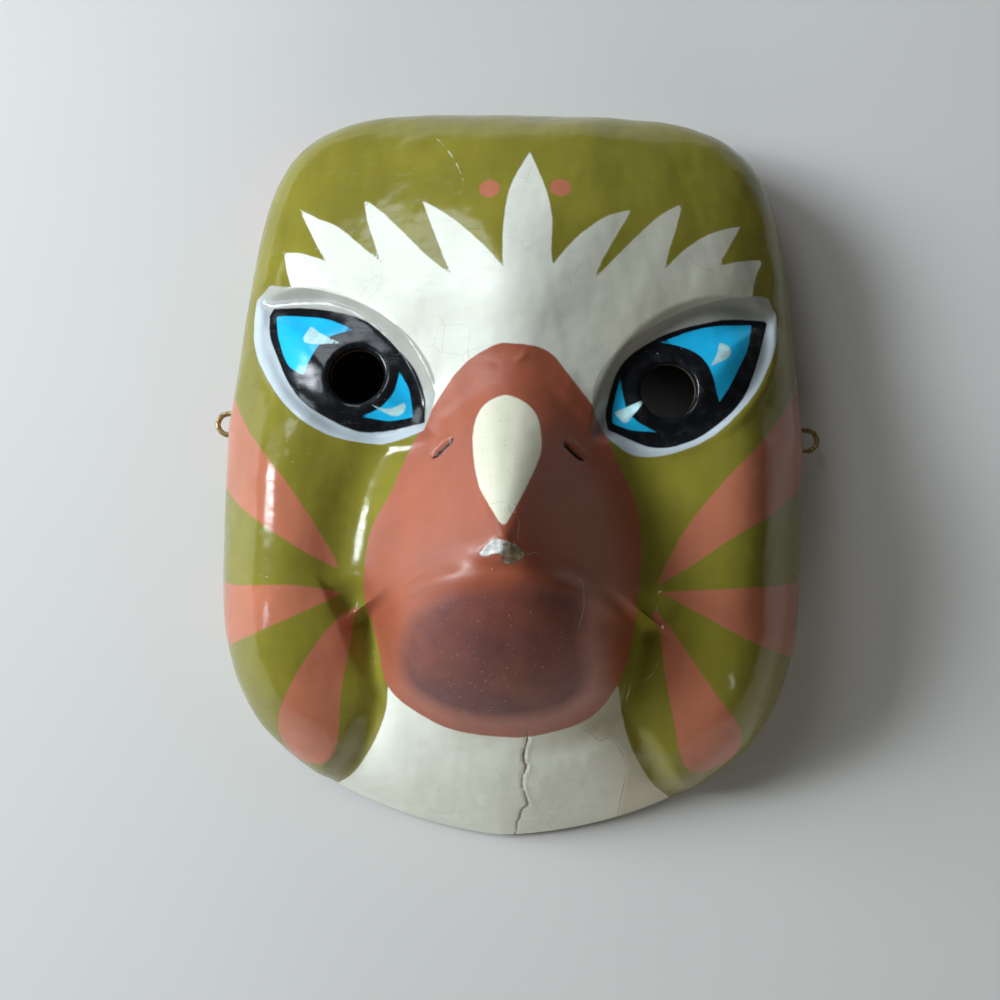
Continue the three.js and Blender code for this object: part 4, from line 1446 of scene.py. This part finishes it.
class Varnish(bpy.types.PropertyGroup):
    """The clear varnish over the paint."""

    roughness: share_property("Roughness", "How dull the varnish is", 0.12)
    beak: share_property("Beak roughness", "How dull the beak is", 0.36)
    sheen: share_property("Beak sheen", "Strength of the broad sheen on the beak", 0.8)
    peel: length_property("Unevenness", "Height of the waves that the brush left", 0.00012, 0.001)


class WireSizes(bpy.types.PropertyGroup):
    """The two wire eyes."""

    radius: length_property("Wire radius", "Half of the wire's thickness", 0.0009, 0.002)
    loop: length_property("Loop radius", "Radius of the wire's middle in the loop", 0.0036, 0.006)
    sides: bpy.props.IntProperty(
        name="Sides", description="Flat sides round the wire", default=14, min=6, max=32
    )


class StageLights(bpy.types.PropertyGroup):
    """The lights of the picture."""

    window: power_property("Window", "Strength of the light that the varnish mirrors", 10)
    daylight: power_property("Daylight", "Strength of the soft light from the left", 26)
    upper_window: power_property("Upper window", "Strength of the light from the crown", 4.5)
    side_pane: power_property("Side pane", "Strength of the narrow light beside the window", 1)
    second_light: power_property("Second light", "Strength of the dim light from the right", 0.3)
    room_below: power_property("Room below", "Strength of the soft light from the chin", 6.5)
    room_above: power_property("Room above", "Strength of the soft light from the crown", 1.6)
    sky: bpy.props.FloatProperty(
        name="Surroundings", description="Brightness of the light from all round", default=0.02,
        min=0, max=2,
    )


class MASK_OT_shell(bpy.types.Operator):
    """Build the painted shell of moulded paper"""

    bl_idname = "bird_mask.shell"
    bl_label = "Painted shell"

    def execute(self, context):
        scene = context.scene
        vertices, faces, values = shell_mesh(scene.mask_sizes)
        mesh = bpy.data.meshes.new("painted_shell")
        mesh.from_pydata(vertices.tolist(), [], faces.tolist())
        for name, value in values.items():
            layer = mesh.attributes.new(name, "FLOAT", "POINT")
            layer.data.foreach_set("value", value.astype(np.float32))
        mesh.shade_smooth()
        mesh.set_sharp_from_angle(angle=math.radians(SHARP_ANGLE))
        if mesh.validate():
            raise RuntimeError("the shell's mesh has bad faces")
        paint = painted_paper(scene.mask_colours, scene.mask_varnish)
        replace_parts(new_piece("painted_shell", mesh, paint, "painted_paper"), "mask_shell")
        return {"FINISHED"}


def loop_path(side, sizes, seed):
    """The middle of one wire eye: a tail inside the wall, out, round the loop and back in."""
    draw = np.random.default_rng(seed)
    to_wire = math.atan2(WIRE_Y, HALF_WIDTH)
    wall = rim_reach(to_wire) * math.cos(to_wire)
    inside = wall - WALL - TAIL_SET_IN
    bow = LOOP_HIGH.x - sizes.radius - sizes.loop
    half = [(inside, sizes.loop, LOOP_TAIL)]
    for turn in np.linspace(0, math.pi / 2, BEND_POINTS):
        x = inside + TAIL_BEND * (1 - math.cos(turn))
        half.append((x, sizes.loop, TAIL_BEND * (1 - math.sin(turn))))
    for x in np.linspace(inside + TAIL_BEND, bow, LEG_POINTS)[1:-1]:
        half.append((x, sizes.loop, 0))
    for turn in np.linspace(math.pi / 2, 0, LOOP_POINTS)[:-1]:
        half.append((bow + sizes.loop * math.cos(turn), sizes.loop * math.sin(turn), 0))
    path = half + [(bow + sizes.loop, 0, 0)] + [(x, -y, z) for x, y, z in reversed(half)]
    path = np.array(path)
    outside = ramp(wall, bow, path[:, 0])[:, None]
    path += outside * draw.uniform(-1, 1, path.shape) * (0, HAND_BENT, HAND_BENT)
    return path * (side, 1, 1) + (0, WIRE_Y, WIRE_HEIGHT)


def bent_wire_tree():
    """A tree that turns a line of edges into a round closed wire of one material."""
    tree = bpy.data.node_groups.new("bent_wire", "GeometryNodeTree")
    for name, kind in (
        ("Path", "NodeSocketGeometry"), ("Wire radius", "NodeSocketFloat"),
        ("Sides", "NodeSocketInt"), ("Step", "NodeSocketFloat"), ("Metal", "NodeSocketMaterial"),
    ):
        tree.interface.new_socket(name, in_out="INPUT", socket_type=kind)
    tree.interface.new_socket("Wire", in_out="OUTPUT", socket_type="NodeSocketGeometry")
    n = Nodes(tree)
    path = n.node("NodeGroupInput", output="Path")
    curve = n.node("GeometryNodeMeshToCurve", {"Mesh": path})
    smooth = n.node("GeometryNodeCurveSplineType", {"Curve": curve}, spline_type="CATMULL_ROM")
    even = n.node(
        "GeometryNodeResampleCurve", {"Curve": smooth, "Length": path.also("Step")}, mode="LENGTH"
    )
    section = {"Resolution": path.also("Sides"), "Radius": path.also("Wire radius")}
    circle = n.node("GeometryNodeCurvePrimitiveCircle", section)
    swept = {"Curve": even, "Profile Curve": circle, "Fill Caps": True}
    tube = n.node("GeometryNodeCurveToMesh", swept)
    round_tube = n.node("GeometryNodeSetShadeSmooth", {"Geometry": tube, "Shade Smooth": True})
    real = n.node("GeometryNodeRealizeInstances", {"Geometry": round_tube})
    painted = n.node("GeometryNodeSetMaterial", {"Geometry": real, "Material": path.also("Metal")})
    n.node("NodeGroupOutput", {"Wire": painted})
    return tree


def wire_eye(name, side, seed, sizes, tree, metal):
    """One wire eye as a plain mesh, swept by the tree along its path."""
    path = loop_path(side, sizes, seed)
    line = bpy.data.meshes.new(name + "_path")
    line.from_pydata(path.tolist(), [(k, k + 1) for k in range(len(path) - 1)], [])
    maker = bpy.data.objects.new(name + "_path", line)
    bpy.context.scene.collection.objects.link(maker)
    modifier = maker.modifiers.new("bent_wire", "NODES")
    modifier.node_group = tree
    inputs = {
        "Wire radius": sizes.radius, "Sides": sizes.sides, "Step": WIRE_STEP, "Metal": metal,
    }
    for item in tree.interface.items_tree:
        if item.name in inputs:
            modifier[item.identifier] = inputs[item.name]
    evaluated = maker.evaluated_get(bpy.context.evaluated_depsgraph_get())
    mesh = bpy.data.meshes.new_from_object(evaluated)
    mesh.name = name
    maker.modifiers.clear()
    bpy.data.objects.remove(maker)
    if not mesh.polygons:
        raise RuntimeError("the tree made no wire for " + name)
    return new_piece(name, mesh, metal, "brass_wire")


class MASK_OT_wire_eyes(bpy.types.Operator):
    """Bend the two wire eyes for the string"""

    bl_idname = "bird_mask.wire_eyes"
    bl_label = "Wire eyes"

    def execute(self, context):
        sizes = context.scene.mask_wire
        metal = wire_metal(context.scene.mask_colours)
        tree = bent_wire_tree()
        for seed, (name, side) in enumerate((("left", -1), ("right", 1))):
            piece = wire_eye("wire_eye_" + name, side, seed, sizes, tree, metal)
            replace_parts(piece, "wire_loop_" + name)
        return {"FINISHED"}


def area_light(name, place, size, power, colour):
    """A soft light that faces the mask."""
    lamp = bpy.data.lights.new(name, "AREA")
    lamp.shape = "RECTANGLE"
    lamp.size, lamp.size_y = size
    lamp.energy = power
    lamp.color = colour
    holder = bpy.data.objects.new(name, lamp)
    bpy.context.scene.collection.objects.link(holder)
    holder.location = place
    holder.rotation_euler = (Vector(LIGHTS_AIM) - Vector(place)).to_track_quat("-Z", "Y").to_euler()
    return holder


def lay_floor(scene):
    """The pale floor just under the rim."""
    corners = ((-1, -1), (1, -1), (1, 1), (-1, 1))
    places = [(x * FLOOR_REACH, y * FLOOR_REACH, -FLOOR_GAP) for x, y in corners]
    mesh = bpy.data.meshes.new("floor")
    mesh.from_pydata(places, [], [(0, 1, 2, 3)])
    new_piece("floor", mesh, pale_floor(scene.mask_colours))


def set_up_lights(scene):
    """The soft lights round the mask, and the dim light from everywhere."""
    lights = scene.mask_lights
    for name, (place, size, colour, mirrored) in LIGHTS.items():
        lamp = area_light(name, place, size, getattr(lights, name), colour)
        lamp.visible_glossy = mirrored
    world = bpy.data.worlds.new("surroundings")
    world.use_nodes = True
    scene.world = world
    sky = world.node_tree.nodes["Background"]
    sky.inputs["Color"].default_value = SKY_COLOUR
    sky.inputs["Strength"].default_value = lights.sky


def set_up_camera(scene):
    """The picture's camera, nearly straight above the mask."""
    lens = bpy.data.cameras.new("picture_camera")
    lens.lens, lens.sensor_width = LENS, SENSOR
    camera = bpy.data.objects.new("picture_camera", lens)
    scene.collection.objects.link(camera)
    camera.location = CAMERA_PLACE
    camera.rotation_euler = camera_turn().to_euler()
    scene.camera = camera
    scene.view_settings.view_transform = "Standard"


class MASK_OT_stage(bpy.types.Operator):
    """Lay a pale floor and set up the lights and the picture's camera"""

    bl_idname = "bird_mask.stage"
    bl_label = "Floor, lights and camera"

    def execute(self, context):
        lay_floor(context.scene)
        set_up_lights(context.scene)
        set_up_camera(context.scene)
        return {"FINISHED"}


GROUPS = {
    "mask_sizes": MaskSizes, "mask_colours": MaskColours, "mask_varnish": Varnish,
    "mask_wire": WireSizes, "mask_lights": StageLights,
}
OPERATORS = (MASK_OT_shell, MASK_OT_wire_eyes, MASK_OT_stage)


class VIEW3D_PT_bird_mask(bpy.types.Panel):
    """Sizes, colours and buttons of the bird mask"""

    bl_label = "Bird Mask"
    bl_space_type = "VIEW_3D"
    bl_region_type = "UI"
    bl_category = "Bird Mask"

    def draw(self, context):
        for name, group in GROUPS.items():
            box = self.layout.box()
            box.label(text=group.__doc__)
            for field in group.__annotations__:
                box.prop(getattr(context.scene, name), field)
        for operator in OPERATORS:
            self.layout.operator(operator.bl_idname)


def register():
    for group in GROUPS.values():
        bpy.utils.register_class(group)
    for name, group in GROUPS.items():
        setattr(bpy.types.Scene, name, bpy.props.PointerProperty(type=group))
    for operator in OPERATORS:
        bpy.utils.register_class(operator)
    bpy.utils.register_class(VIEW3D_PT_bird_mask)


def unregister():
    bpy.utils.unregister_class(VIEW3D_PT_bird_mask)
    for operator in reversed(OPERATORS):
        bpy.utils.unregister_class(operator)
    for name in GROUPS:
        delattr(bpy.types.Scene, name)
    for group in reversed(GROUPS.values()):
        bpy.utils.unregister_class(group)


def main():
    register()
    bpy.ops.bird_mask.shell()
    bpy.ops.bird_mask.wire_eyes()
    bpy.ops.bird_mask.stage()


if __name__ == "__main__":
    main()
